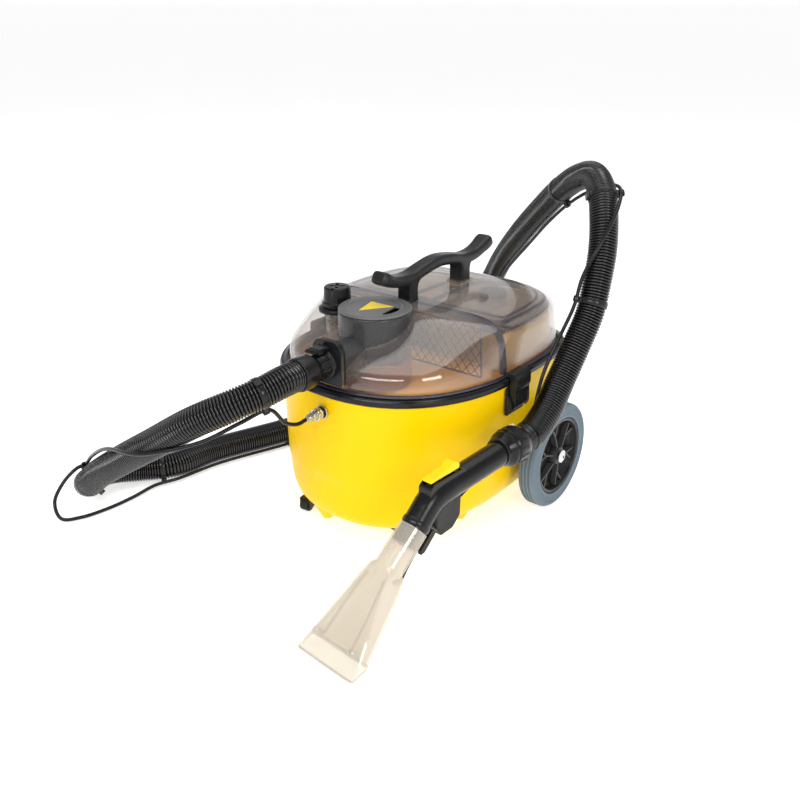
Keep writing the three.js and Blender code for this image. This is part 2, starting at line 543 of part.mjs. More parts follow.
// A closed skin through sections, each given by its top and bottom edge [y, z], its half width
// and a power that makes it rounder (2) or squarer (8).
function wedge(sections, sides) {
  const positions = [];
  const faces = [];
  for (const [top, bottom, halfWidth, power] of sections) {
    for (let i = 0; i < sides; i += 1) {
      const angle = (2 * Math.PI * (i + 0.5)) / sides;
      const c = Math.sign(Math.cos(angle)) * Math.abs(Math.cos(angle)) ** (2 / power);
      const s = Math.sign(Math.sin(angle)) * Math.abs(Math.sin(angle)) ** (2 / power);
      const y = (top[0] + bottom[0]) / 2 + (s * (top[0] - bottom[0])) / 2;
      const z = (top[1] + bottom[1]) / 2 + (s * (top[1] - bottom[1])) / 2;
      positions.push(halfWidth * c, y, z);
    }
  }
  for (let level = 0; level + 1 < sections.length; level += 1) {
    for (let i = 0; i < sides; i += 1) {
      const a = level * sides + i;
      const b = level * sides + ((i + 1) % sides);
      faces.push(a, b, b + sides, a, b + sides, a + sides);
    }
  }
  const last = (sections.length - 1) * sides;
  for (let i = 1; i + 1 < sides; i += 1) {
    faces.push(0, i + 1, i, last, last + i, last + i + 1);
  }
  const made = new THREE.BufferGeometry();
  made.setAttribute("position", new THREE.Float32BufferAttribute(positions, 3));
  made.setIndex(faces);
  return solid(made);
}

const nozzleOuter = [
  [[0, 0], [31, 15], 53, 9], [[14, 14], [42, 21], 50, 9], [[80, 82], [112, 60], 30, 5],
  [[107.6, 106.8], [134.4, 74.4], 21, 2], [[155.6, 146.2], [182.4, 113.8], 21, 2],
];
const nozzleInner = [
  [[-6, -9], [19, 4], 51, 9], [[16.5, 13.2], [39.5, 21.8], 48, 9], [[82, 80.2], [110.2, 62], 28, 5],
  [[109, 105], [133, 76.2], 18.8, 2], [[171, 162], [200, 130], 18.8, 2],
];
const nozzle = wedge(nozzleOuter, 16).subtract(wedge(nozzleInner, 16));
add("tool_nozzle", moved(nozzle, toolPlace), CLEAR, 0.1, 0, 0.45);

const insertPath = [[0, 149, 113.5], [0, 157, 120.2], [0, 165, 127], [0, 176, 136.2]];
const gripPathTool = [[0, 169.4, 130.6], [0, 178, 137.9], [0, 188, 147.5], [0, 199, 157.5], [0, 213, 164.5],
  [0, 232, 167.6], [0, 280, 171.4], [0, 330, 175.3], [0, 372, 178.6]];
const airway = [[0, 140, 106], [0, 157, 120.2], ...gripPathTool.slice(1, -1), [0, 378, 179], [0, 410, 179]];
let grip = union(
  bar(insertPath, 18.3, 18.3, 12, 2),
  bar(gripPathTool, GRIP_RADIUS, GRIP_RADIUS, 12, 10),
  turned([[0, 362], [21, 362], [27, 374], [27, 397], [25.5, 401.6], [0, 401.6]], "y", [0, 0, 179], 20),
  box(-11, 11, 188, 262, 172, 189.6),
);
grip = grip.subtract(bar(airway, 14.6, 14.6, 10, 10));
add("tool_grip", moved(grip, toolPlace), BLACK, 0.25);

// A flat outline in the tool's y-z plane, thickened to both sides of its middle.
const YZ_TO_TOOL = new THREE.Matrix4().set(0, 0, 1, 0, 1, 0, 0, 0, 0, 1, 0, 0, 0, 0, 0, 1);
const profile = (points, halfWidth) => moved(plate(points, -halfWidth, halfWidth), YZ_TO_TOOL);

const trigger = profile([[191, 190], [258, 194.8], [259, 201], [250, 205.5], [241, 204.5], [230, 199.5],
  [198, 197.5], [191, 194.5]], 9);
add("tool_trigger", moved(trigger, toolPlace), YELLOW, 0.35);
let valve = profile([[200, 152], [203, 118], [213, 103], [240, 106], [250, 120], [250, 152]], 10.5);
valve = valve.subtract(bar(gripPathTool, GRIP_RADIUS + 0.5, GRIP_RADIUS + 0.5, 12, 10));
valve = valve.subtract(cylinder(4.4, 95, 128, "z", [0, 226, 0], 16));
add("tool_valve", moved(valve, toolPlace), DARK_GREY, 0.6);
add("valve_plunger", moved(cylinder(4, 101, 124, "z", [0, 226, 0], 16), toolPlace), STEEL, 0.3, 0.9);
const JET_ROUTE = [[0, 200.2, 113], [0, 190, 106], [0, 172, 89], [0, 155, 70], [0, 144, 56.5]];
add("jet_line", moved(bar(JET_ROUTE, 3, 3, 8, 8), toolPlace), BLACK, 0.5);
const jet = profile([[143, 55.2], [139, 50.8], [130, 56], [127, 62], [132, 66], [138, 63]], 4);
add("spray_jet", moved(jet, toolPlace), 0xb58a3a, 0.3, 0.9);

// The solution line starts at its plug on the nose, joins the hose, leaves it for a free loop on
// the floor, and then follows it to the hand tool. Beside the hose each point is the hose's own
// point moved sideways, square to the hose, towards the direction given here.
const LINE_BESIDE_NOSE = [
  [2, 0, 0, -1], [3, 0.1, 0.2, -1], [4, 0.1, -0.2, -1], [5, 0, -1, -0.3], [6, 0, -0.5, 0.8], [7, 0, -0.1, 1],
  [8, -0.2, 0, 1],
];
const LINE_FREE_LOOP = [
  [-366, -436, 89], [-391, -453, 58], [-398, -469, 26], [-376, -474, 6], [-358, -450, 4],
  [-347, -405, 4], [-345, -355, 4], [-347, -305, 5],
];
const LINE_BESIDE_REST = [
  [12, 1, 0, -0.66], [13, 1, 0, -0.66], [14, 1, 0, -0.66], [15, 1, 0, -0.66], [16, 1, 0, -0.66],
  [17, 1, 0, -0.66], [18, 1, 0, -0.66], [19, 1, -0.3, -0.4], [20, 0.8, -0.8, -0.1], [21, 0.5, -1, 0.2],
  [22, 0.8, -0.6, -0.3], [23, 0.8, -0.6, -0.6], [24, 0.8, -0.2, -1], [25, 0.6, -0.2, -1], [26, 0.4, 0, -1],
  [27, 0.3, 0.3, -1], [28, 0.8, 0.5, -0.6], [29, 0.9, 0.5, 0.1], [30, 0.8, -0.1, 0.6],
  [31, 0.3, -0.9, 0.2], [32, -0.4, -0.9, 0], [33, -0.6, -0.8, 0], [34, -0.8, -0.6, 0], [35, -1, -0.3, 0],
  [36, -1, 0.1, -0.5], [37, -0.6, 0.2, -1],
];
function besideHose([index, x, y, z]) {
  const at = new THREE.Vector3(...HOSE_ROUTE[index]);
  const before = new THREE.Vector3(...HOSE_ROUTE[Math.max(index - 1, 0)]);
  const after = new THREE.Vector3(...HOSE_ROUTE[Math.min(index + 1, HOSE_ROUTE.length - 1)]);
  const along = after.sub(before).normalize();
  const away = new THREE.Vector3(x, y, z).projectOnPlane(along).normalize();
  return at.addScaledVector(away, LINE_OFFSET).toArray();
}
const plugEnd = noseY - 24 - GAP;
add("line_plug", turned([[0, plugEnd - 14], [4, plugEnd - 14], [6, plugEnd - 8], [6, plugEnd], [0, plugEnd]],
  "y", [COUPLER_X, 0, COUPLER_Z], 20), NICKEL, 0.3, 0.9);
const LINE_ROUTE = [
  [COUPLER_X, plugEnd - 14 - GAP, COUPLER_Z], [COUPLER_X, -290, 218.4], [-5, -312, 228],
  ...LINE_BESIDE_NOSE.map(besideHose),
  ...LINE_FREE_LOOP,
  ...LINE_BESIDE_REST.map(besideHose),
  toolPoint(-13, 405, 149), toolPoint(-13, 386, 149), toolPoint(-11, 366, 150.5), toolPoint(-8, 340, 152.6),
  toolPoint(-4, 300, 148.4), toolPoint(-1, 268, 141), toolPoint(0, 257, 138), toolPoint(0, 250.6, 138),
];
add("solution_line", bar(LINE_ROUTE, LINE_RADIUS, LINE_RADIUS, 8, 56), 0x0c0c0d, 0.4);

const part = new THREE.Group();
machine.position.copy(ORIGIN).negate();
part.add(machine);

export default part;
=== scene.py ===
"""Looks for the portable carpet cleaner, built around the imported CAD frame.

Shapes are written in machine millimetres: x and y from the middle of the tub, z from the floor,
the front towards -Y and the hand tool's side towards +X. HOME carries them into the frame.
"""

import math

import bmesh
import bpy
from mathutils import Matrix, Vector


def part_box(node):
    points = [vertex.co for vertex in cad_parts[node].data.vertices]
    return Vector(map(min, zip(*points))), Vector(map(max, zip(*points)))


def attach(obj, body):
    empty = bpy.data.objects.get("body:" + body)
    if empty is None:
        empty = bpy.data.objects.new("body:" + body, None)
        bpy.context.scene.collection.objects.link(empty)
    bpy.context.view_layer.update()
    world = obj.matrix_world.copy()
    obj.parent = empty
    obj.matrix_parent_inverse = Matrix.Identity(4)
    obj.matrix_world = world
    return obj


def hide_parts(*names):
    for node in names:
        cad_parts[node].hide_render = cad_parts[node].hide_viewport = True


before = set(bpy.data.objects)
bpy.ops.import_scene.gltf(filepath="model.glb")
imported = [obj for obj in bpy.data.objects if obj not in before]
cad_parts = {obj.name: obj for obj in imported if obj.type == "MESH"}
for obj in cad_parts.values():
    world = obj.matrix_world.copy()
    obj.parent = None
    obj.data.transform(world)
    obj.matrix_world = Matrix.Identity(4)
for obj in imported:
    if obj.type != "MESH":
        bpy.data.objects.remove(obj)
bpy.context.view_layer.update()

# ---------------------------------------------------------------- places and driving sizes
MM = 0.001
SIDES = (("left", -1), ("right", 1))
tub_low, tub_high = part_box("tub_shell")
HOME = Vector(((tub_low.x + tub_high.x) / 2, (tub_low.y + tub_high.y) / 2, 0))

HALF_WIDTH = 198
HALF_LENGTH = 235.5
FRONT_ROUNDNESS = 2.3
REAR_ROUNDNESS = 3.78
OUTLINE_POINTS = 144
TUB_BOTTOM = 24
TUB_TOP = 244.7
TUB_WALL = 4
LID_BOTTOM = 257.3
LID_TOP = 344
LID_WALL = 3
WHEEL_RADIUS = 90
WHEEL_X = 221.8
WHEEL_Y = 83
INLET_Y = -112
INLET_RADIUS = 58
NECK_Z = 296
NECK_FACE_Y = -226
CONNECTOR_START = NECK_FACE_Y - 0.3
CAP_X = -87
CAP_Y = -102
CAP_BASE = 336
CAP_TOP = 369
COUPLER_X = -3
COUPLER_Z = 219
NOSE_Y = -234.5
LATCH_Y = -14
LATCH_PIN_X = 205.5
LATCH_PIN_Z = 212
HOSE_RADIUS = 23
RIB_PITCH = 4.6
LINE_RADIUS = 3
LINE_OFFSET = 29.5
MOUTH = Vector((201, -469, 0))
TOOL = Matrix.Translation(MOUTH) @ Matrix.Rotation(math.radians(-6), 4, "Z")
GRIP_RADIUS = 19.5


def place(point):
    return HOME + Vector(point) * MM


# ---------------------------------------------------------------- camera
CAMERA_AT = Vector((848.06, -1139.01, 785.04))
SENSOR_WIDTH = 36
LENS = 40.5  # a focal length of 900 pixels in a picture 800 wide
CAMERA_AZIMUTH = math.radians(37.89)
CAMERA_ELEVATION = math.radians(23.87)


def make_camera():
    data = bpy.data.cameras.new("camera")
    data.sensor_width = SENSOR_WIDTH
    data.lens = LENS
    camera = bpy.data.objects.new("camera", data)
    bpy.context.scene.collection.objects.link(camera)
    camera.location = place(CAMERA_AT)
    flat = math.cos(CAMERA_ELEVATION)
    back = Vector((math.sin(CAMERA_AZIMUTH) * flat, -math.cos(CAMERA_AZIMUTH) * flat,
                   math.sin(CAMERA_ELEVATION)))
    camera.rotation_euler = (-back).to_track_quat("-Z", "Y").to_euler()
    bpy.context.scene.camera = camera


make_camera()


# ---------------------------------------------------------------- materials
def new_material(name):
    material = bpy.data.materials.new(name)
    material.use_nodes = True
    nodes = material.node_tree.nodes
    return material, nodes, material.node_tree.links, nodes["Principled BSDF"]


def noise(nodes, links, where, scale, detail=3):
    texture = nodes.new("ShaderNodeTexNoise")
    texture.inputs["Scale"].default_value = scale
    texture.inputs["Detail"].default_value = detail
    links.new(where, texture.inputs["Vector"])
    return texture.outputs["Fac"]


def mapped(nodes, links, value, low, high):
    node = nodes.new("ShaderNodeMapRange")
    node.inputs["From Min"].default_value = 0.3
    node.inputs["From Max"].default_value = 0.7
    node.inputs["To Min"].default_value = low
    node.inputs["To Max"].default_value = high
    links.new(value, node.inputs["Value"])
    return node.outputs["Result"]


def ramp(nodes, links, value, stops):
    node = nodes.new("ShaderNodeValToRGB")
    while len(node.color_ramp.elements) < len(stops):
        node.color_ramp.elements.new(0.5)
    for element, (at, colour) in zip(node.color_ramp.elements, stops):
        element.position = at
        element.color = (*colour, 1)
    links.new(value, node.inputs["Fac"])
    return node.outputs["Color"]


def shaded(colour, share):
    return tuple(min(1, c * share) for c in colour)


def surface(name, colour, rough, vary=0.08, patch=22, grain=900, bump=0.08, wear=0.0, metal=0.0,
            coat=0.0, specular=0.26, streaks=None):
    """A moulded or metal surface: colour drifts, worn edges, uneven gloss and a fine grain."""
    material, nodes, links, shader = new_material(name)
    where = nodes.new("ShaderNodeTexCoord").outputs["Object"]
    if streaks:
        stretch = nodes.new("ShaderNodeMapping")
        stretch.inputs["Scale"].default_value = streaks
        links.new(where, stretch.inputs["Vector"])
        where = stretch.outputs["Vector"]
    tint = ramp(nodes, links, noise(nodes, links, where, patch),
                [(0.3, shaded(colour, 1 - vary)), (0.7, shaded(colour, 1 + vary))])
    if wear:
        edges = ramp(nodes, links, nodes.new("ShaderNodeNewGeometry").outputs["Pointiness"],
                     [(0.5, (0, 0, 0)), (0.62, (wear, wear, wear))])
        mix = nodes.new("ShaderNodeMix")
        mix.data_type = "RGBA"
        links.new(edges, mix.inputs[0])
        links.new(tint, mix.inputs[6])
        mix.inputs[7].default_value = (*shaded(tuple(c + 0.08 for c in colour), 1.6), 1)
        tint = mix.outputs[2]
    links.new(tint, shader.inputs["Base Color"])
    low, high = rough
    links.new(mapped(nodes, links, noise(nodes, links, where, patch * 3), low, high),
              shader.inputs["Roughness"])
    relief = nodes.new("ShaderNodeBump")
    relief.inputs["Strength"].default_value = bump
    relief.inputs["Distance"].default_value = 0.0003
    links.new(noise(nodes, links, where, grain, 2), relief.inputs["Height"])
    links.new(relief.outputs["Normal"], shader.inputs["Normal"])
    shader.inputs["Metallic"].default_value = metal
    shader.inputs["Coat Weight"].default_value = coat
    shader.inputs["Coat Roughness"].default_value = 0.08
    shader.inputs["Specular IOR Level"].default_value = specular
    return material


def clear(name, colour, tint, face, edge, rough=0.05, vary=0.08, patch=9):
    """A clear moulding: tinted and see-through face on, denser where it is seen edge on."""
    material, nodes, links, shader = new_material(name)
    where = nodes.new("ShaderNodeTexCoord").outputs["Object"]
    shade = ramp(nodes, links, noise(nodes, links, where, patch),
                 [(0.3, shaded(colour, 1 - vary)), (0.7, shaded(colour, 1 + vary))])
    links.new(shade, shader.inputs["Base Color"])
    facing = nodes.new("ShaderNodeLayerWeight")
    facing.inputs["Blend"].default_value = 0.5
    grazing = math_node(nodes, links, "POWER", facing.outputs["Facing"], 3)
    density = nodes.new("ShaderNodeMapRange")
    density.inputs["To Min"].default_value = face
    density.inputs["To Max"].default_value = edge
    links.new(grazing, density.inputs["Value"])
    shader.inputs["Specular IOR Level"].default_value = 0
    through = nodes.new("ShaderNodeBsdfTransparent")
    through.inputs["Color"].default_value = (*tint, 1)
    inside = mixed(nodes, links, density.outputs["Result"], through.outputs[0], shader.outputs[0])
    gloss = nodes.new("ShaderNodeBsdfGlossy")
    gloss.inputs["Color"].default_value = (1, 1, 1, 1)
    links.new(mapped(nodes, links, noise(nodes, links, where, patch * 4), rough * 0.6, rough * 1.6),
              gloss.inputs["Roughness"])
    steep = math_node(nodes, links, "POWER", facing.outputs["Facing"], 5)
    amount = math_node(nodes, links, "MULTIPLY_ADD", steep, 0.85, 0.05)
    links.new(mixed(nodes, links, amount, inside, gloss.outputs[0]),
              nodes["Material Output"].inputs["Surface"])
    return material


def math_node(nodes, links, operation, value, *numbers):
    node = nodes.new("ShaderNodeMath")
    node.operation = operation
    links.new(value, node.inputs[0])
    for i, number in enumerate(numbers):
        node.inputs[i + 1].default_value = number
    return node.outputs[0]


def mixed(nodes, links, share, first, second):
    """Two shaders mixed by share."""
    mix = nodes.new("ShaderNodeMixShader")
    links.new(share, mix.inputs[0])
    links.new(first, mix.inputs[1])
    links.new(second, mix.inputs[2])
    return mix.outputs[0]


BLACK = (0.006, 0.006, 0.0065)
MATERIALS = {
    "tub_yellow": surface("tub yellow", (0.95, 0.6, 0.0), (0.24, 0.34), 0.02, 6, 700, 0.03,
                          specular=0.14),
    "trigger_yellow": surface("trigger yellow", (0.95, 0.66, 0.0), (0.2, 0.3), 0.03, 30, 900, 0.04),
    "black_plastic": surface("black plastic", BLACK, (0.16, 0.28), 0.2, 30, 1500, 0.06, 0.12),
    "black_matt": surface("black matt plastic", (0.012, 0.012, 0.0125), (0.42, 0.55), 0.2, 30, 1600,
                          0.2, 0.1),
    "grey_plastic": surface("grey plastic", (0.042, 0.042, 0.043), (0.2, 0.32), 0.12, 24, 1500,
                            0.12, 0.12),
    "handle_grey": surface("handle plastic", (0.013, 0.013, 0.014), (0.26, 0.38), 0.12, 24, 1300,
                           0.18, 0.12),
    "cover_grey": surface("cover plastic", (0.13, 0.13, 0.13), (0.3, 0.42), 0.08, 24, 1500, 0.1),
    "smoked_clear": clear("smoked clear", (0.5, 0.46, 0.45), (0.975, 0.962, 0.955), 0.045, 0.38),
    "smoked_inner": clear("smoked inner", (0.58, 0.46, 0.32), (0.96, 0.92, 0.86), 0.06, 0.5, 0.1),
    "tan_inner": clear("tan inner", (0.66, 0.45, 0.18), (0.96, 0.86, 0.66), 0.55, 0.85, 0.12),
    "smoked_dark": clear("smoked edges", (0.025, 0.02, 0.04), (0.35, 0.3, 0.38), 0.86, 0.98, 0.1),
    "amber_inner": clear("amber inner", (0.36, 0.15, 0.06), (0.9, 0.68, 0.48), 0.4, 0.8, 0.12),
    "clear_nozzle": clear("nozzle clear", (0.72, 0.66, 0.55), (0.96, 0.945, 0.92), 0.28, 0.6, 0.05),
    "clear_edge": clear("nozzle edges", (0.66, 0.64, 0.6), (0.93, 0.92, 0.9), 0.25, 0.75, 0.08),
    "hose_black": surface("hose black", (0.004, 0.004, 0.0045), (0.1, 0.18), 0.3, 14, 1200, 0.03,
                          specular=0.55),
    "line_black": surface("line black", (0.008, 0.008, 0.009), (0.22, 0.34), 0.2, 20, 1200, 0.05),
    "tyre_grey": surface("tyre rubber", (0.125, 0.165, 0.195), (0.55, 0.75), 0.14, 16, 1400, 0.35,
                         0.15),
    "hub_black": surface("hub plastic", (0.008, 0.008, 0.008), (0.3, 0.45), 0.2, 30, 1500, 0.1,
                         0.55),
    "steel": surface("plated steel", (0.56, 0.56, 0.57), (0.18, 0.32), 0.06, 60, 2000, 0.1, 0.0,
                     1.0),
    "nickel": surface("dull nickel", (0.56, 0.52, 0.43), (0.16, 0.34), 0.14, 90, 2500, 0.15, 0.0,
                      1.0),
    "brass": surface("brass", (0.66, 0.42, 0.12), (0.2, 0.34), 0.1, 90, 2500, 0.15, 0.0, 1.0),
    "silver_paint": surface("silver cap", (0.75, 0.75, 0.75), (0.25, 0.4), 0.05, 60, 2000, 0.08),
    "tank_white": surface("natural polyethylene", (0.66, 0.66, 0.61), (0.4, 0.55), 0.05, 16, 700,
                          0.1),
    "deck_orange": surface("deck orange", (0.78, 0.36, 0.04), (0.35, 0.5), 0.08, 10, 900, 0.1),
    "pump_paint": surface("pump paint", (0.04, 0.06, 0.1), (0.35, 0.5), 0.1, 30, 1500, 0.15, 0.3),
    "motor_paint": surface("motor paint", (0.17, 0.18, 0.19), (0.35, 0.5), 0.1, 30, 1500, 0.15,
                           0.3),
    "rubber_black": surface("caster rubber", (0.02, 0.02, 0.02), (0.55, 0.75), 0.2, 40, 1500, 0.3),
    "rocker_red": surface("rocker red", (0.45, 0.008, 0.008), (0.15, 0.25), 0.06, 40, 1500, 0.04),
    "float_white": surface("float foam", (0.72, 0.7, 0.63), (0.5, 0.65), 0.05, 40, 900, 0.25),
    "white_patch": surface("white patch", (0.75, 0.75, 0.73), (0.3, 0.4), 0.04, 40, 1500, 0.08),
}


# ---------------------------------------------------------------- shapes: (points, faces) in mm
def joined(*shapes):
    points, faces = [], []
    for some_points, some_faces in shapes:
        first = len(points)
        points += some_points
        faces += [tuple(first + i for i in face) for face in some_faces]
    return points, faces


def moved(shape, matrix):
    points, faces = shape
    return [tuple(matrix @ Vector(p)) for p in points], faces


def skin(rings, ends=True, closed=False):
    """Faces between rings of points. closed joins the last ring to the first."""
    n = len(rings[0])
    points = [tuple(p) for ring in rings for p in ring]
    faces = []
    count = len(rings) if closed else len(rings) - 1
    for level in range(count):
        here, there = level * n, ((level + 1) % len(rings)) * n
        for i in range(n):
            j = (i + 1) % n
            faces.append((here + i, here + j, there + j, there + i))
    if ends and not closed:
        faces.append(tuple(range(n)))
        faces.append(tuple(range((len(rings) - 1) * n, len(rings) * n)))
    return points, faces


AXES = {
    "x": Matrix.Rotation(math.radians(90), 4, "Y"),
    "y": Matrix.Rotation(math.radians(-90), 4, "X"),
    "z": Matrix.Identity(4),
}


def lathe(outline, axis="z", centre=(0, 0, 0), segments=48, closed=False):
    """Turns [radius, along] pairs about an axis. closed makes a ring of the outline."""
    rings = []
    for radius, along in outline:
        radius = max(radius, 0.01)
        rings.append([(radius * math.cos(2 * math.pi * i / segments),
                       radius * math.sin(2 * math.pi * i / segments), along)
                      for i in range(segments)])
    return moved(skin(rings, True, closed), Matrix.Translation(centre) @ AXES[axis])


def block(x0, x1, y0, y1, z0, z1):
    points = [(x, y, z) for z in (z0, z1) for x, y in ((x0, y0), (x1, y0), (x1, y1), (x0, y1))]
    faces = [(3, 2, 1, 0), (4, 5, 6, 7), (0, 1, 5, 4), (1, 2, 6, 5), (2, 3, 7, 6), (3, 0, 4, 7)]
    return points, faces


def rounded(points, radius, steps=4, closed=True):
    """The same outline with its corners rounded."""
    made = []
    n = len(points)
    for i, point in enumerate(points):
        if not closed and i in (0, n - 1):
            made.append(tuple(point))
            continue
        here = Vector(point)
        before = Vector(points[i - 1]) - here
        after = Vector(points[(i + 1) % n]) - here
        reach = min(radius, before.length * 0.45, after.length * 0.45)
        start = here + before.normalized() * reach
        end = here + after.normalized() * reach
        for step in range(steps + 1):
            t = step / steps
            made.append(tuple(start * (1 - t) ** 2 + here * 2 * t * (1 - t) + end * t ** 2))
    return made


def prism(outline, low, high):
    """A flat outline in the xy plane, thickened along z."""
    return skin([[(x, y, low) for x, y in outline], [(x, y, high) for x, y in outline]])


FACES_TO = {  # where a prism's own x, y and z go
    "yz": Matrix(((0, 0, 1, 0), (1, 0, 0, 0), (0, 1, 0, 0), (0, 0, 0, 1))),
    "xz": Matrix(((1, 0, 0, 0), (0, 0, -1, 0), (0, 1, 0, 0), (0, 0, 0, 1))),
}


def slab(plane, outline, low, high):
    """A flat outline drawn in the yz or xz plane, thickened square to it."""
    return moved(prism(outline, low, high), FACES_TO[plane])


def oblong(left, right, low, high):
    return [(left, low), (right, low), (right, high), (left, high)]


def rod(radius, low, high, *where):
    return lathe([(0.01, low), (radius, low), (radius, high), (0.01, high)], *where)


def turned(centre, degrees, axis):
    """Turns about an axis through the centre."""
    return Matrix.Translation(centre) @ Matrix.Rotation(math.radians(degrees), 4, axis)


def spline(points, per_span=12):
    """A centripetal Catmull-Rom curve through the points."""
    control = [Vector(p) for p in points]
    control = [control[0] * 2 - control[1], *control, control[-1] * 2 - control[-2]]
    made = []
    for i in range(1, len(control) - 2):
        a, b, c, d = control[i - 1:i + 3]
        before, here, after = (b - a).length ** 0.5, (c - b).length ** 0.5, (d - c).length ** 0.5
        out = ((b - a) / before - (c - a) / (before + here) + (c - b) / here) * here
        into = ((c - b) / here - (d - b) / (here + after) + (d - c) / after) * here
        for step in range(per_span):
            t = step / per_span
            made.append(b + out * t + ((c - b) * 3 - out * 2 - into) * t ** 2
                        + ((b - c) * 2 + out + into) * t ** 3)
    made.append(control[-2])
    return made


def evenly(line, spacing):
    """Points along a line at about that spacing, and the line's length."""
    lengths = [0.0]
    for a, b in zip(line, line[1:]):
        lengths.append(lengths[-1] + (b - a).length)
    total = lengths[-1]
    count = max(2, round(total / spacing))
    made = []
    span = 0
    for i in range(count + 1):
        at = total * i / count
        while span < len(line) - 2 and lengths[span + 1] < at:
            span += 1
        share = (at - lengths[span]) / max(lengths[span + 1] - lengths[span], 1e-9)
        made.append(line[span].lerp(line[span + 1], min(share, 1)))
    return made, total


def frames_along(line):
    """A pair of sideways directions at each point, carried along without twisting."""
    tangents = []
    for i in range(len(line)):
        tangents.append((line[min(i + 1, len(line) - 1)] - line[max(i - 1, 0)]).normalized())
    up = Vector((0, 0, 1)) if abs(tangents[0].z) < 0.9 else Vector((1, 0, 0))
    side = tangents[0].cross(up).normalized()
    made = []
    for tangent in tangents:
        side = (side - tangent * side.dot(tangent)).normalized()
        made.append((side, side.cross(tangent).normalized()))
    return made


def sweep(line, section, scales=None):
    """Carries a closed section of (side, up) pairs along a line of points."""
    scales = scales or [1] * len(line)
    rings = []
    for point, (side, up), scale in zip(line, frames_along(line), scales):
        rings.append([point + side * (u * scale) + up * (v * scale) for u, v in section])
    return skin(rings)


def circle(radius, sides=20, high=None):
    high = radius if high is None else high
    return [(radius * math.cos(2 * math.pi * i / sides), high * math.sin(2 * math.pi * i / sides))
            for i in range(sides)]


def tube(points, radius, sides=16, spacing=3):
    line, _ = evenly(spline(points), spacing)
    return sweep(line, circle(radius, sides))


def tub_outline(side, front, rear, z):
    """The tub's outline at height z, drawn in by side, front and rear insets."""
    points = []
    for i in range(OUTLINE_POINTS):
        angle = 2 * math.pi * i / OUTLINE_POINTS
        c, s = math.cos(angle), math.sin(angle)
        power = FRONT_ROUNDNESS if s < 0 else REAR_ROUNDNESS
        length = HALF_LENGTH - (front if s < 0 else rear)
        scale = (abs(c) ** power + abs(s) ** power) ** (-1 / power)
        points.append(((HALF_WIDTH - side) * scale * c, length * scale * s, z))
    return points


def levels_between(levels, step=4):
    """More levels on a smooth curve through the given (z, side, front, rear) ones."""
    line = spline([Vector(level[:3]) for level in levels], step)
    rear = spline([Vector((level[0], level[3], 0)) for level in levels], step)
    return [(p.x, p.y, p.z, q.y) for p, q in zip(line, rear)]


def lofted(levels):
    return skin([tub_outline(side, front, rear, z) for z, side, front, rear in levels])


# ---------------------------------------------------------------- pieces
SHARP_FROM = 38  # degrees between two faces, from which their edge looks sharp
BEVEL_FROM = 34  # and from which it is rounded
KEPT_FROM = 32  # both, for the pieces kept from the CAD
WELD_WITHIN = 2e-6  # metres between points that are merged


def turn_outward(work):
    """Reverses each island of faces whose normals point in."""
    seen = set()
    for first in work.faces:
        if first in seen:
            continue
        seen.add(first)
        island, volume = [first], 0
        for face in island:
            corners = [loop.vert.co for loop in face.loops]
            for a, b in zip(corners[1:], corners[2:]):
                volume += corners[0].dot(a.cross(b))
            for edge in face.edges:
                for other in edge.link_faces:
                    if other not in seen:
                        seen.add(other)
                        island.append(other)
        if volume < 0:
            bmesh.ops.reverse_faces(work, faces=island)


def mesh_of(name, shape, repair=False):
    """A mesh of a shape, moved into the frame, its faces all turned one way."""
    points, faces = shape
    data = bpy.data.meshes.new(name)
    data.from_pydata([place(p) for p in points], [], faces)
    work = bmesh.new()
    work.from_mesh(data)
    if repair:
        bmesh.ops.remove_doubles(work, verts=work.verts, dist=WELD_WITHIN)
    bmesh.ops.recalc_face_normals(work, faces=work.faces)
    if repair:
        turn_outward(work)
    work.to_mesh(data)
    work.free()
    return data


def added(name, data):
    """A new object of that data, in the scene."""
    made = bpy.data.objects.new(name, data)
    bpy.context.scene.collection.objects.link(made)
    return made


def bevelled(made, width, degrees):
    """Rounds the edges sharper than that angle, width in mm."""
    edges = made.modifiers.new("edges", "BEVEL")
    edges.width = width * MM
    edges.segments = 2
    edges.limit_method = "ANGLE"
    edges.angle_limit = math.radians(degrees)
    edges.harden_normals = True


def piece(name, shape, slot, body="base", material=None, bevel=0.0, smooth=SHARP_FROM,
          stands_for=()):
    """Makes an object of a shape, in its material, riding on its body."""
    data = mesh_of(name, shape, repair=True)
    data.shade_smooth()
    data.set_sharp_from_angle(angle=math.radians(smooth))
    made = added(name, data)
    data.materials.append(MATERIALS[material or slot])
    if bevel:
        bevelled(made, bevel, BEVEL_FROM)
    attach(made, body)
    if stands_for:
        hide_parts(*stands_for)
    return made


def carve(target, *cutters):
    """Cuts shapes out of a piece."""
    for shape in cutters:
        cutter = added("cutter", mesh_of("cutter", shape))
        cut = target.modifiers.new("cut", "BOOLEAN")
        cut.object = cutter
        cut.solver = "EXACT"
        target.modifiers.move(len(target.modifiers) - 1, 0)
        graph = bpy.context.evaluated_depsgraph_get()
        kept = [m for m in target.modifiers if m != cut]
        shown = [m.show_viewport for m in kept]
        for m in kept:
            m.show_viewport = False
        graph.update()
        result = bpy.data.meshes.new_from_object(target.evaluated_get(graph))
        for m, state in zip(kept, shown):
            m.show_viewport = state
        target.modifiers.remove(cut)
        target.data = result
        bpy.data.objects.remove(cutter)
    target.data.shade_smooth()
    target.data.set_sharp_from_angle(angle=math.radians(SHARP_FROM))


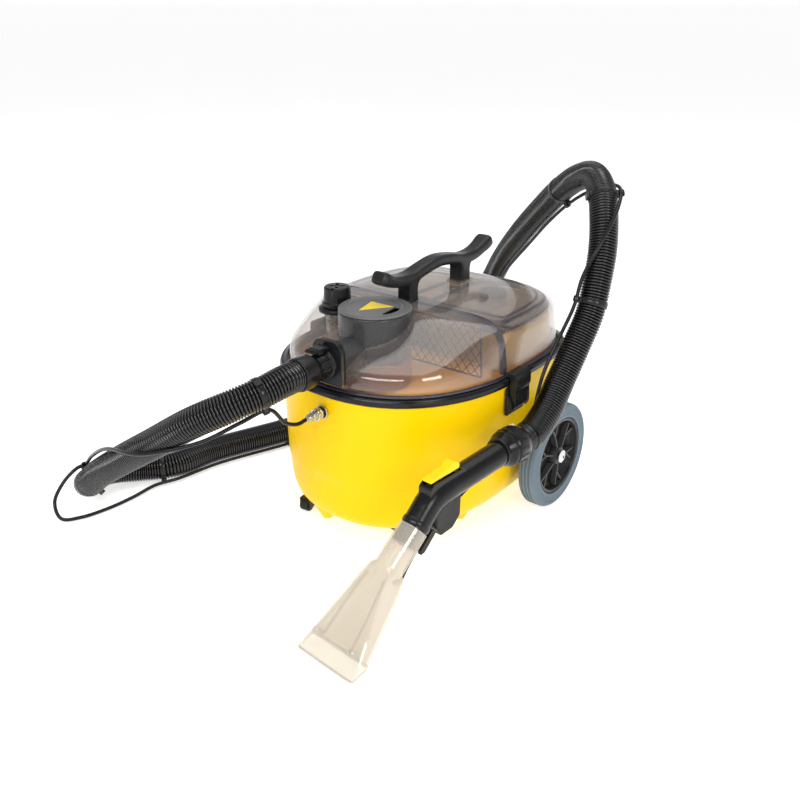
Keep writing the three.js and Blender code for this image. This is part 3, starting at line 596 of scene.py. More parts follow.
# ---------------------------------------------------------------- cords: hose and solution line
HOSE_ROUTE = [
    (0, CONNECTOR_START - 66.3, NECK_Z), (0, -316, NECK_Z), (-9, -349, 288), (-31, -388, 275),
    (-76, -424, 249), (-140, -444, 206), (-215, -447, 158), (-290, -442, 108), (-345, -431, 67),
    (-385, -408, 44), (-411, -355, 32), (-390, -306, 24), (-354, -258, 24), (-342, -178, 24),
    (-291, -20, 24), (-277, 60, 24), (-270, 150, 24), (-266, 240, 24), (-262, 330, 27),
    (-248, 408, 52), (-222, 458, 106), (-188, 478, 176), (-148, 466, 244), (-104, 433, 301),
    (-35, 382, 373), (32, 343, 437), (79, 317, 478), (123, 290, 507), (169, 255, 521),
    (205, 218, 505), (226, 189, 474), (242, 162, 427), (249, 138, 381), (252, 116, 336),
    (248, 84, 287), (245, 46, 240), (247, 5, 204), (246.1, -36, 182), (244.4, -55, 179.4),
    (243, -68.6, 179),
]
# Beside the hose the line's points are the hose's own, moved square to it, this way.
LINE_BESIDE_NOSE = [(2, 0, 0, -1), (3, 0.1, 0.2, -1), (4, 0.1, -0.2, -1), (5, 0, -1, -0.3),
                    (6, 0, -0.5, 0.8), (7, 0, -0.1, 1), (8, -0.2, 0, 1)]
LINE_FREE_LOOP = [(-366, -436, 89), (-391, -453, 58), (-398, -469, 26), (-376, -474, 6),
                  (-358, -450, 4), (-347, -405, 4), (-345, -355, 4), (-347, -305, 5)]
LINE_BESIDE_REST = [
    (12, 1, 0, -0.66), (13, 1, 0, -0.66), (14, 1, 0, -0.66), (15, 1, 0, -0.66), (16, 1, 0, -0.66),
    (17, 1, 0, -0.66), (18, 1, 0, -0.66), (19, 1, -0.3, -0.4), (20, 0.8, -0.8, -0.1),
    (21, 0.5, -1, 0.2), (22, 0.8, -0.6, -0.3), (23, 0.8, -0.6, -0.6), (24, 0.8, -0.2, -1),
    (25, 0.6, -0.2, -1), (26, 0.4, 0, -1), (27, 0.3, 0.3, -1), (28, 0.8, 0.5, -0.6),
    (29, 0.9, 0.5, 0.1), (30, 0.8, -0.1, 0.6), (31, 0.3, -0.9, 0.2), (32, -0.4, -0.9, 0),
    (33, -0.6, -0.8, 0), (34, -0.8, -0.6, 0), (35, -1, -0.3, 0), (36, -1, 0.1, -0.5),
    (37, -0.6, 0.2, -1),
]
LINE_TO_VALVE = [(-13, 405, 149), (-13, 386, 149), (-11, 366, 150.5), (-8, 340, 152.6),
                 (-4, 300, 148.4), (-1, 268, 141), (0, 257, 138), (0, 250.6, 138)]
PLUG_TIP_Y = NOSE_Y - 38.3


def beside_hose(index, x, y, z):
    at = Vector(HOSE_ROUTE[index])
    along = (Vector(HOSE_ROUTE[index + 1]) - Vector(HOSE_ROUTE[index - 1])).normalized()
    away = Vector((x, y, z))
    away = (away - along * away.dot(along)).normalized()
    return at + away * LINE_OFFSET


LINE_ROUTE = [
    Vector((COUPLER_X, PLUG_TIP_Y - 0.3, COUPLER_Z)), Vector((COUPLER_X, -290, 218.4)),
    Vector((-5, -312, 228)),
    *[beside_hose(*step) for step in LINE_BESIDE_NOSE],
    *[Vector(p) for p in LINE_FREE_LOOP],
    *[beside_hose(*step) for step in LINE_BESIDE_REST],
    *[TOOL @ Vector(p) for p in LINE_TO_VALVE],
]
RIB = [19.9, 22.4, 23.1, 23.1, 22.4]  # one rib's radii, evenly spaced along it
TIES_AT = [2.1, 8, 11.7, 13.9, 26, 29.3, 32.7]  # in steps of HOSE_ROUTE's points
END_TIE_AT = 37.6


def make_hose():
    """A corrugated hose: one rib every RIB_PITCH millimetres along its route."""
    _, length = evenly(spline(HOSE_ROUTE), 1)
    ribs = round(length / RIB_PITCH)
    smooth = spline(HOSE_ROUTE, 40)
    line, _ = evenly(smooth, length / (ribs * len(RIB)))
    scales = [RIB[i % len(RIB)] for i in range(len(line))]
    hose = piece("suction_hose", sweep(line, circle(1, 24), scales), "hose_black",
                 smooth=60, stands_for=["vacuum_hose"])
    return hose, line, length


def make_line():
    line, length = evenly(spline(LINE_ROUTE, 24), 4)
    made = piece("solution_hose", sweep(line, circle(LINE_RADIUS, 14)), "line_black",
                 smooth=60, stands_for=["solution_line"])
    return made, line, length


def ring_round(line, at, reach, radius, profile, sides=28):
    """A ring round the hose at a share of its length; profile is (along, radius) pairs."""
    middle = round(at * (len(line) - 1))
    point = line[middle]
    along = (line[min(middle + 3, len(line) - 1)] - line[max(middle - 3, 0)]).normalized()
    side, up = frames_along(line[max(middle - 3, 0):middle + 4])[3 if middle >= 3 else middle]
    rings = []
    for offset, r in profile:
        rings.append([point + along * (offset * reach) + (side * math.cos(t) + up * math.sin(t))
                      * (r * radius) for t in [2 * math.pi * i / sides for i in range(sides)]])
    return skin(rings, True, True), point, along


TIE_PROFILE = [(-0.5, 0.98), (-0.5, 1.015), (-0.4, 1.035), (0.4, 1.035), (0.5, 1.015), (0.5, 0.98)]


def make_tie(name, hose_line, line_line, at, width=9, material="black_plastic"):
    """A tie round the hose, with a small loop that holds the solution line and a buckle."""
    band, point, along = ring_round(hose_line, at, width, HOSE_RADIUS, TIE_PROFILE)
    near = min(line_line, key=lambda p: (p - point).length)
    away = near - point
    away = (away - along * away.dot(along)).normalized()
    across = along.cross(away)
    turn = Matrix((across, along, away)).transposed().to_4x4()
    shapes = [band]
    lug = moved(prism(rounded(oblong(-6, 6, -width / 2, width / 2), 1.5), 22.5, 26.2),
                Matrix.Translation(point) @ turn)
    shapes.append(lug)
    if (near - point).length < 40:
        loop = lathe([(3.3, -width / 2), (4.9, -width / 2), (5.3, -width / 3), (5.3, width / 3),
                      (4.9, width / 2), (3.3, width / 2)], "y", (0, 0, LINE_OFFSET), 20, True)
        shapes.append(moved(loop, Matrix.Translation(point) @ turn))
    buckle = moved(prism(rounded(oblong(-4.5, 4.5, -width / 2 - 1, width / 2 + 1), 1.2),
                         HOSE_RADIUS + 0.4, HOSE_RADIUS + 5),
                   Matrix.Translation(point) @ turn @ Matrix.Rotation(math.radians(150), 4, "Y"))
    shapes.append(buckle)
    return piece(name, joined(*shapes), "black_plastic", material=material, bevel=0.4)


def make_connector():
    """The hose's cuff, its collar at the neck, and the snap tab on top."""
    start = CONNECTOR_START
    outline = [(17, 0), (23, 0), (23.6, 1), (23.6, 6), (22.8, 7.6), (20.6, 8.6), (20, 10), (20, 31),
               (20.8, 33), (23, 36.8), (25.5, 39.4), (25.5, 62), (24.8, 65), (23.4, 66), (17, 66)]
    body = lathe([(r, start - d) for r, d in rounded(outline, 1.2, 3)], "y", (0, 0, NECK_Z), 64,
                 True)
    grips = [moved(block(-1.4, 1.4, start - 30, start - 11, 19.4, 21.4),
                   turned((0, 0, NECK_Z), a, "Y")) for a in range(60, 301, 30)]
    post = block(-4, 4, start - 24, start - 16, 312, 319.6)
    cuff = piece("connector_cuff", joined(body, post, *grips), "black_plastic", bevel=0.5,
                 stands_for=["hose_connector"])
    side = rounded([(start - 36, 321.2), (start - 36, 323.6), (start - 31, 325.4),
                    (start - 5, 325.4), (start - 2, 323.5), (start - 2, 321.2)], 0.9)
    tab = slab("yz", side, -9, 9)
    ridges = [block(-8, 8, start - d - 0.8, start - d + 0.8, 325, 326.2) for d in (24, 27, 30, 33)]
    ears = [block(x - 2, x + 2, start - 25, start - 15, 316.6, 322) for x in (-7, 7)]
    lock = piece("connector_tab", joined(tab, *ridges, *ears), "black_plastic", "connector_lock",
                 bevel=0.4, stands_for=["connector_lock"])
    return cuff, lock


def share_at(line, step):
    """The share of the line's points at which HOSE_ROUTE's step is passed."""
    first = int(step)
    point = Vector(HOSE_ROUTE[first]).lerp(Vector(HOSE_ROUTE[first + 1]), step - first)
    return min(range(len(line)), key=lambda i: (line[i] - point).length) / (len(line) - 1)


def make_cords():
    hose, hose_line, hose_length = make_hose()
    thin, thin_line, thin_length = make_line()
    cuff, lock = make_connector()
    plug_outline = [(0, -14), (3.6, -14), (4, -13.2), (4.4, -11), (6, -8), (6.4, -7.2), (6.4, -3),
                    (5.4, -2.2), (5.4, -1), (6, 0), (0, 0)]
    plug = piece("line_fitting", lathe([(r, NOSE_Y - 24.3 + d) for r, d in plug_outline], "y",
                                       (COUPLER_X, 0, COUPLER_Z), 32), "nickel",
                 stands_for=["line_plug"])
    ties = [make_tie(f"hose_tie_{i + 1}", hose_line, thin_line, share_at(hose_line, at))
            for i, at in enumerate(TIES_AT)]
    ties.append(make_tie("hose_tie_end", hose_line, thin_line, share_at(hose_line, END_TIE_AT), 5))


# ---------------------------------------------------------------- tub and rim
TUB_LEVELS = [
    (TUB_BOTTOM, 40, 26, 26), (30, 30, 16, 16), (42, 20, 9, 9), (60, 13, 5.6, 5.6),
    (84, 9.4, 4.6, 4.6), (100, 7.6, 3.8, 3.8),
]
UPPER_LEVELS = [(101, 6.6, 3, 3), (150, 4.6, 2.3, 2.3), (200, 2.8, 1.6, 1.6), (TUB_TOP, 1, 1, 1)]
FEET = [(-34, -200), (139, -68)]
EXHAUST = (0, 92, 118, 176)


def make_tub():
    outside = levels_between(TUB_LEVELS) + levels_between(UPPER_LEVELS)
    inside = [(z, side + TUB_WALL, front + TUB_WALL, rear + TUB_WALL)
              for z, side, front, rear in outside if z > 30]
    inside[-1] = (TUB_TOP, 1 + TUB_WALL, 1 + TUB_WALL, 1 + TUB_WALL)
    shell = lofted(outside + inside[::-1])
    foot = [(0.01, 7), (6, 7.2), (8.6, 8.6), (10.4, 12), (12.6, 17), (15.6, 22), (18.4, 27),
            (20, 36), (0.01, 36)]
    feet = [lathe(foot, "z", (x, y, 0), 40) for x, y in FEET]
    bosses = [lathe([(9, side * 185), (13, side * 185), (13, side * 199), (12, side * 200.5),
                     (9, side * 200.5)], "x", (0, WHEEL_Y, WHEEL_RADIUS), 40, True)
              for side in (-1, 1)]
    piece("tub_feet", joined(*feet, *bosses), "tub_yellow", stands_for=["tub_shell"], smooth=50)
    tub = piece("tub_body", shell, "tub_yellow", stands_for=["tub_shell"], smooth=50)
    left, right, low, high = EXHAUST
    carve(tub, block(left + 8, right - 8, 200, 250, low + 8, high - 8))
    carve(tub, rod(7.4, -250, -210, "y", (COUPLER_X, 0, COUPLER_Z), 24))


def outline_ring(section):
    """A closed ring that follows the tub's outline; section is (inset, front inset, z) points."""
    return skin([tub_outline(side, front, side, z) for side, front, z in section], True, True)


def make_rim():
    section = rounded([(14, 17, 245), (-1.2, -1.2, 245), (-3, -3, 247), (-3, -3, 253.6),
                       (-1.6, -1.6, 255.6), (-1, -1, 257), (14, 17, 257)], 0.9, 3)
    piece("rim_seal", outline_ring(section), "black_plastic", stands_for=["rim_band"])


# ---------------------------------------------------------------- lid
LID_LEVELS = [
    (LID_BOTTOM, 10, 13, 10), (272, 11, 15, 11), (284, 12, 20, 12), (293, 13, 34, 13),
    (303, 14, 58, 14), (315, 16, 88, 16), (327, 23, 116, 22), (336, 38, 138, 36),
    (341.5, 64, 154, 60), (LID_TOP, 96, 168, 96),
]


def make_lid():
    outside = levels_between(LID_LEVELS, 3)
    inside = [(z - LID_WALL, side + LID_WALL, front + LID_WALL, rear + LID_WALL)
              for z, side, front, rear in outside if z > LID_BOTTOM + 4]
    inside.insert(0, (LID_BOTTOM, 10 + LID_WALL, 13 + LID_WALL, 10 + LID_WALL))
    dome = piece("lid_shell", lofted(outside[::-1] + inside), "smoked_clear", "lid",
                 stands_for=["lid_dome"], smooth=50)
    carve(dome, rod(INLET_RADIUS + 0.4, 268, 360, "z", (0, INLET_Y, 0), 64),
          moved(prism(neck_outline(0.6), -240, -150), FACES_TO["xz"] @ Matrix.Scale(-1, 4,
                                                                                    (0, 0, 1))),
          lathe([(0.01, 250), (19.4, 250), (19.4, CAP_BASE - 8), (26.4, CAP_BASE - 8), (26.4, 360),
                 (0.01, 360)], "z", (CAP_X, CAP_Y, 0), 48))
    foot = rounded([(8, 10, 257.6), (3, 4, 257.6), (3, 4, 259.6), (8, 10, 261.4)], 0.6, 3)
    lid_edge("lid_flange", outline_ring(foot))


def neck_outline(grow=0.0):
    """The neck's section: an arch over a block, as (x, z) points."""
    half = 25 + grow
    top = 320 + grow
    arch = [(half * math.cos(math.radians(a)),
             top - half * 0.72 + half * 0.72 * math.sin(math.radians(a)))
            for a in range(0, 181, 10)]
    return [(half, 268 - grow)] + arch + [(-half, 268 - grow)]


def make_inlet():
    centre = (0, INLET_Y, 0)
    wall = rounded([(48, 277), (53, 274.5), (INLET_RADIUS - 2, 283), (INLET_RADIUS, 296),
                    (INLET_RADIUS, 347), (INLET_RADIUS - 1.6, 350.6), (48, 350.6)], 5, 5)
    drum = lathe(wall, "z", centre, 96, True)
    neck = slab("xz", neck_outline(), 158, 225.5)
    flange_outline = rounded([(-29, 262), (29, 262), (29, 318), (20, 331), (-20, 331), (-29, 318)],
                             8, 6)
    flange = slab("xz", flange_outline, 216, 226)
    cup = lathe(rounded(oblong(19, 27.6, NECK_FACE_Y - 0.2, NECK_FACE_Y + 2), 0.5), "y",
                (0, 0, NECK_Z), 64, True)
    catch = block(-5, 5, NECK_FACE_Y, NECK_FACE_Y + 3.2, 322, 334.5)
    lug = block(-3.4, 3.4, NECK_FACE_Y + 3, NECK_FACE_Y + 9, 326, 332)
    housing = piece("inlet_body", drum, "grey_plastic", "lid", bevel=0.7,
                    stands_for=["inlet_housing"])
    plate = piece("inlet_flange", joined(flange, cup, catch, lug), "black_plastic", "lid",
                  bevel=0.9)
    throat = piece("inlet_neck", neck, "grey_plastic", "lid", bevel=1.2)
    bore = rod(18.5, -240, -120, "y", (0, 0, NECK_Z), 40)
    carve(housing, bore)
    carve(plate, bore)
    hollow = rod(INLET_RADIUS - 4, 270, 345, "z", centre, 64)
    carve(throat, bore, hollow)
    for name, side in SIDES:
        rib = rounded([(-225, 258.8), (-221, 258.8), (-222.8, 262), (-222.8, 312), (-225, 316)],
                      0.8)
        piece(f"inlet_rib_{name}", slab("yz", rib, side * 29.6 - 1.1, side * 29.6 + 1.1),
              "smoked_clear", "lid", material="smoked_inner", bevel=0.3)

    plate = lathe(rounded([(0.01, 351), (INLET_RADIUS - 0.6, 351), (INLET_RADIUS - 0.4, 352.6),
                           (INLET_RADIUS - 2.4, 354.5), (43, 354.5), (41.6, 353), (40.4, 352.7),
                           (0.01, 352.7)], 0.5, 3, False), "z", centre, 96)
    cover = piece("inlet_disc", plate, "cover_grey", "lid", stands_for=["inlet_cover"])
    wedge = [(23.5, 20.5), (28.6, -20.6)]
    wedge += [(39 * math.cos(math.radians(a)), 39 * math.sin(math.radians(a)))
              for a in range(-30, 34, 7)]
    port = moved(prism(rounded(wedge, 1.5), 340, 360), Matrix.Translation((0, INLET_Y, 0)))
    carve(cover, port)
    # Painted shade: a black matt disc under the cover's wedge port, so the opening looks dark
    # inside.
    floor = moved(prism(circle(47, 48), 342, 346), Matrix.Translation((0, INLET_Y, 0)))
    piece("inlet_port_shade", floor, "black_plastic", "lid", material="black_matt", bevel=0.3)
    label = [(-10.4, -27), (21.5, 19.6), (-23.4, 19.4)]
    badge = moved(prism(rounded(label, 1.2), 352.6, 352.95), Matrix.Translation((0, INLET_Y, 0)))
    piece("inlet_label", badge, "trigger_yellow", "lid")


def make_cap():
    centre = (CAP_X, CAP_Y, 0)
    neck = rounded([(16, 262), (19, 262), (19, CAP_BASE - 7), (25, CAP_BASE - 7),
                    (26, CAP_BASE - 6), (26, CAP_BASE - 1), (25, CAP_BASE), (19, CAP_BASE),
                    (19, CAP_BASE + 6), (16, CAP_BASE + 6)], 0.8, 3)
    piece("filler_throat", lathe(neck, "z", centre, 56, True), "smoked_clear", "lid",
          material="smoked_inner", stands_for=["filler_neck"])
    skirt = CAP_BASE + 0.5
    outline = rounded([(0.01, skirt + 6), (19.4, skirt + 6), (19.4, skirt), (24, skirt),
                       (24, skirt + 7.5), (22.4, skirt + 8.6), (21.4, CAP_TOP - 2), (19.6, CAP_TOP),
                       (0.01, CAP_TOP)], 1, 3, False)
    collar = rounded([(19.4, CAP_BASE - 1), (25, CAP_BASE - 7.5), (30.6, CAP_BASE - 7.5),
                      (31.4, CAP_BASE - 5), (30.4, CAP_BASE - 1.4), (26, CAP_BASE + 0.2),
                      (20, CAP_BASE + 0.3)], 0.8, 3)
    piece("filler_collar", lathe(collar, "z", centre, 72, True), "black_plastic", "lid")
    body = lathe(outline, "z", centre, 72)
    ribs = [moved(block(21.2, 24.6, -1.3, 1.3, skirt + 1, skirt + 7.4), turned(centre, a, "Z"))
            for a in range(0, 360, 15)]
    piece("filler_grip", joined(*ribs), "black_plastic", "filler_cap", bevel=0.5,
          stands_for=["filler_cap"])
    cap = piece("filler_lid", body, "black_plastic", "filler_cap", bevel=0.5,
                stands_for=["filler_cap"])
    for angle in (38, 128):
        cut = rounded(oblong(-13.5, 13.5, -2.6, 2.6), 2.4)
        carve(cap, moved(prism(cut, CAP_TOP - 4, CAP_TOP + 4), turned(centre, angle, "Z")))
    notch = [(-4, -15.5), (4, -15.5), (0, -24.5)]
    carve(cap, moved(prism(notch, CAP_TOP - 3, CAP_TOP + 4), turned(centre, 20, "Z")))
    knob = lathe(rounded([(0.01, CAP_TOP - 4), (4.4, CAP_TOP - 4), (4.4, CAP_TOP - 0.6),
                          (0.01, CAP_TOP - 0.6)], 0.8, 3, False), "z", centre, 24)
    piece("filler_lid_hub", knob, "black_plastic", "filler_cap")


def lid_edge(name, shape, **options):
    """A dark moulded edge inside the lid."""
    return piece(name, shape, "smoked_inner", "lid", material="smoked_dark", **options)


def lid_insets(z):
    """How far the lid's skin is drawn in at the side, front and rear at height z."""
    for low, high in zip(LID_LEVELS, LID_LEVELS[1:]):
        if z <= high[0]:
            share = (z - low[0]) / (high[0] - low[0])
            return [a + (b - a) * share for a, b in zip(low[1:], high[1:])]
    return LID_LEVELS[-1][1:]


def lid_inside(inset, z):
    """The lid's inner outline at height z, drawn in by inset."""
    side, front, rear = [a + LID_WALL + inset for a in lid_insets(z + LID_WALL)]
    return tub_outline(side, front, rear, z)


def lid_height(x, y):
    """Height of the lid's skin over a point of its plan."""
    for step in range(200):
        z = LID_TOP - step * 0.4
        side, front, rear = lid_insets(z)
        power = FRONT_ROUNDNESS if y < 0 else REAR_ROUNDNESS
        length = HALF_LENGTH - (front if y < 0 else rear)
        if (abs(x) / (HALF_WIDTH - side)) ** power + (abs(y) / length) ** power <= 1:
            return z
    return LID_BOTTOM


CROSS_WALL_Y = -22
SCREEN_Y = -33
WINDOW = [(24, -8), (21, 60), (22, 130), (34, 172), (64, 186), (104, 186), (136, 172), (153, 140),
          (160, 90), (162, 40), (158, 2), (140, -12), (100, -15), (60, -14)]


def half_width_at(y, z, inset):
    """Half the lid's inner width at that place."""
    outline = lid_inside(inset, z)
    right = [(p[0], p[1]) for p in outline if p[0] > 0]
    return min(right, key=lambda p: abs(p[1] - y))[0]


def make_lid_inside():
    """Cross wall, mesh screen, the moulded chamber at the rear and the beam under the handle."""
    heights = [258.5, 270, 284, 297, 306, 315, 322, 328, 333, 337, 339.6]
    edge = [(half_width_at(CROSS_WALL_Y, z, 0.8), z) for z in heights]
    outline = edge + [(-x, z) for x, z in reversed(edge)]
    piece("cross_wall", slab("xz", outline, 20, 24), "smoked_inner", "lid",
          stands_for=["lid_cross_wall"], bevel=0.6)
    path = [Vector((x - 2.5, CROSS_WALL_Y, z)) for x, z in edge]
    path += [Vector((x, CROSS_WALL_Y, z)) for x, z in reversed([(-p[0] + 2.5, p[1]) for p in edge])]
    path = [Vector((p.x, p.y, min(p.z, 338))) for p in path]
    line, _ = evenly(path, 6)
    edges = [sweep(line, rounded(oblong(-2.4, 2.4, -5.4, 5.4), 1))]
    for side in (-1, 1):
        post = [Vector((side * (half_width_at(CROSS_WALL_Y, z, 0.8) - 1), -24, z))
                for z in heights[:6]]
        edges.append(sweep(post, rounded(oblong(-3.4, 3.4, -4.4, 4.4), 1.4)))
    lid_edge("cross_wall_edge", joined(*edges))
    for side, name in ((1, "right"), (-1, "left")):
        plan = spline([(x * side, y, 0) for x, y in WINDOW + WINDOW[:1]], 8)
        frame_line = [Vector((p[0], p[1], lid_height(p[0], p[1]) - LID_WALL - 2.4)) for p in plan]
        line, _ = evenly(frame_line, 4)
        smooth_line = [(a + b + c) / 3 for a, b, c in zip([line[-1]] + line, line,
                                                          line[1:] + line[:1])]
        bar = rounded(oblong(-3.4, 3.4, -2.2, 2.2), 1)
        lid_edge(f"window_edge_{name}", sweep(smooth_line, bar), smooth=60)
    walls = []
    for z in (262, 276, 290, 304, 316):
        around = lid_inside(5, z)
        start = min((i for i, p in enumerate(around) if p[0] < 0 and p[1] < -18),
                    key=lambda i: abs(around[i][1] + 18))
        reordered = around[start:] + around[:start]
        reordered = [(x, max(y, -18), z) for x, y, z in reordered][::-1]
        walls.append([p for p in reordered if p[1] > -18.5])
    fewest = min(len(w) for w in walls)
    walls = [w[:fewest] for w in walls]
    inner = [[(x * 0.985, 100 + (y - 100) * 0.985, z) for x, y, z in w] for w in walls]
    piece("rear_skirt", skin(walls + inner[::-1], True, True), "smoked_inner", "lid",
          material="tan_inner", smooth=50)

    screen = []
    low, high, half = 247, 329, 149
    for lean in (-1, 1):
        for start in range(-240, 241, 16):
            a = Vector((start, SCREEN_Y, low))
            b = Vector((start + lean * (high - low) * 0.8, SCREEN_Y, high))
            inside = [(a.lerp(b, t / 24)) for t in range(25)]
            inside = [p for p in inside
                      if abs(p.x) < min(half, half_width_at(SCREEN_Y, max(p.z, 258), 3))]
            if len(inside) > 2:
                screen.append(sweep([inside[0], inside[-1]], circle(0.8, 6)))
    border = rounded([(-half, low), (half, low), (half - 6, high), (-half + 6, high)], 6)
    line = [Vector((x, SCREEN_Y, z)) for x, z in border] + [Vector((border[0][0], SCREEN_Y,
                                                                    border[0][1]))]
    screen.append(sweep(line, circle(1.6, 8)))
    lid_edge("debris_screen", joined(*screen), stands_for=["lid_screen"])

    heights = [318.4, 323, 328, 332, 335.4, 337.6]
    inner = []
    for z in heights:
        ring = [(max(-176, min(176, p[0])), max(13, min(212, p[1]))) for p in lid_inside(1.6, z)]
        inner.append([(x, y, z) for x, y in ring])
    walls = inner + [[(x * 0.985, 112 + (y - 112) * 0.975, z) for x, y, z in ring]
                     for ring in reversed(inner)]
    piece("rear_chamber", skin(walls, True, True), "smoked_inner", "lid",
          stands_for=["rear_plenum"], smooth=50)
    for i, level in enumerate((319.5, 334)):
        ring = inner[0] if i == 0 else inner[3]
        line = [Vector((p[0] * 0.985, 112 + (p[1] - 112) * 0.98, level)) for p in ring]
        seen = [line[0]]
        for p in line[1:]:
            if (p - seen[-1]).length > 2:
                seen.append(p)
        seen.append(seen[0])
        lid_edge(f"chamber_edge_{i + 1}", sweep(seen, circle(2.3, 10)))
    beam = rounded(oblong(-12, 12, 334.5, 340.4), 1.5)
    lid_edge("lid_beam", slab("xz", beam, 48, -12), bevel=0.4)


# ---------------------------------------------------------------- handle and latches
GRIP_LINE = [(-103, 399), (-86, 390), (-60, 382.5), (-28, 381.5), (4, 388), (44, 393.5),
             (84, 389.5), (118, 382.5), (150, 383.5), (176, 391), (200, 402)]


POST_FOOT_Z = 344.3


def make_handle():
    """An arched grip whose ends sweep up past its two posts, blended into them."""
    line, _ = evenly(spline([(0, y, z) for y, z in GRIP_LINE]), 3)
    count = len(line)
    scales = []
    for i in range(count):
        end = min(i, count - 1 - i)
        swell = 1 + 0.12 * math.exp(-((end - 4) / 5) ** 2)
        scales.append(swell * (1 if end > 2 else 0.72 + 0.28 * math.sqrt(1 - (1 - end / 2) ** 2)))
    section = rounded(oblong(-14.4, 14.4, -9.4, 9.4), 7.2, 5)
    grip = sweep(line, section, scales)
    posts = []
    for y0, y1, top in ((-38, -18.5, 378), (107.5, 131, 379)):
        rings = []
        for share, grow in ((0, 3.2), (0.03, 1.6), (0.1, 0.5), (0.25, 0), (0.62, 0), (0.8, 1.6),
                            (0.92, 5), (1, 9)):
            z = POST_FOOT_Z + share * (top - POST_FOOT_Z)
            outline = rounded(oblong(-14, 14, y0 - grow - 1, y1 + grow + 1), 4, 4)
            rings.append([(x, y, z) for x, y in outline])
        posts.append(skin(rings))
    handle = piece("handle", joined(grip, *posts), "grey_plastic", "lid", material="handle_grey",
                   stands_for=["carry_handle"], smooth=50)
    welded(handle, 1.4)
    boss = rounded(oblong(-17, 17, 101, 137), 7, 5)
    rings = [[(x * k, 119 + (y - 119) * k, z) for x, y in boss]
             for k, z in ((1.16, 341.2), (1.06, 343.4), (1, 346.2), (0.96, 347))]
    piece("handle_boss_rear", skin(rings), "smoked_clear", "lid", material="smoked_inner")


def welded(target, voxel):
    """Joins overlapping shapes into one skin and softens the seams between them."""
    remesh = target.modifiers.new("weld", "REMESH")
    remesh.mode = "VOXEL"
    remesh.voxel_size = voxel * MM
    soften = target.modifiers.new("soften", "SMOOTH")
    soften.iterations = 3
    soften.factor = 0.6
    graph = bpy.context.evaluated_depsgraph_get()
    graph.update()
    result = bpy.data.meshes.new_from_object(target.evaluated_get(graph))
    target.modifiers.clear()
    target.data = result
    result.shade_smooth()


def make_latches():
    for name, side in SIDES:
        mirror = Matrix.Scale(side, 4, (1, 0, 0))
        y0, y1 = LATCH_Y - 20, LATCH_Y + 20
        plate = rounded(oblong(y0 - 6, y1 + 6, 197, 243), 5, 5)
        back = slab("yz", plate, 197.4, 200.9)
        ear = rounded([(198, 203), (206, 203), (210, 207), (210, 217), (205, 226), (198, 236)], 2,
                      4)
        ears = [slab("xz", ear, -a, -b) for a, b in ((y0 - 5.6, y0 - 1.6), (y1 + 1.6, y1 + 5.6))]
        pin = lathe([(2.3, y0 - 6.2), (2.3, y1 + 6.2)], "y", (LATCH_PIN_X, 0, LATCH_PIN_Z), 20)
        piece(f"latch_seat_{name}", moved(joined(back, *ears, pin), mirror), "black_plastic",
              bevel=0.5, stands_for=[f"latch_base_{name}"])
        side_view = rounded([(203.6, 209.4), (211, 209.4), (213.6, 214), (212.4, 238), (214.6, 246),
                             (214, 262), (210, 266.4), (203, 267), (192.5, 266), (191.6, 262),
                             (192.2, 259.8), (200.6, 259.8), (201.8, 257), (201.8, 211.4)], 2.4, 4)
        arm = slab("xz", side_view, -(y0 - 1), -(y1 + 1))
        pad_outline = rounded(oblong(y0 + 3, y1 - 3, 213.6, 236.4), 3, 5)
        pad = slab("yz", pad_outline, 211, 213.4)
        bars = []
        for z in (216.5, 220.3, 224.1, 227.9, 231.7):
            bar = rounded(oblong(y0 + 5.4, y1 - 5.4, z - 1.1, z + 1.1), 1, 3)
            bars.append(slab("yz", bar, 212.8, 214.6))
        lip = [slab("yz", rounded(oblong(y0 + 3, y1 - 3, z, z + 2), 0.9, 3), 213, 215.4)
               for z in (247, 257)]
        piece(f"latch_arm_{name}", moved(joined(arm, pad, *bars, *lip), mirror), "black_plastic",
              f"latch_{name}", bevel=0.5, stands_for=[f"latch_{name}"])
        seat = rounded(oblong(y0 - 2, y1 + 2, 250, 256.9), 1.2)
        piece(f"latch_strike_{name}", moved(slab("yz", seat, 195, 199.2), mirror), "black_plastic",
              bevel=0.4)


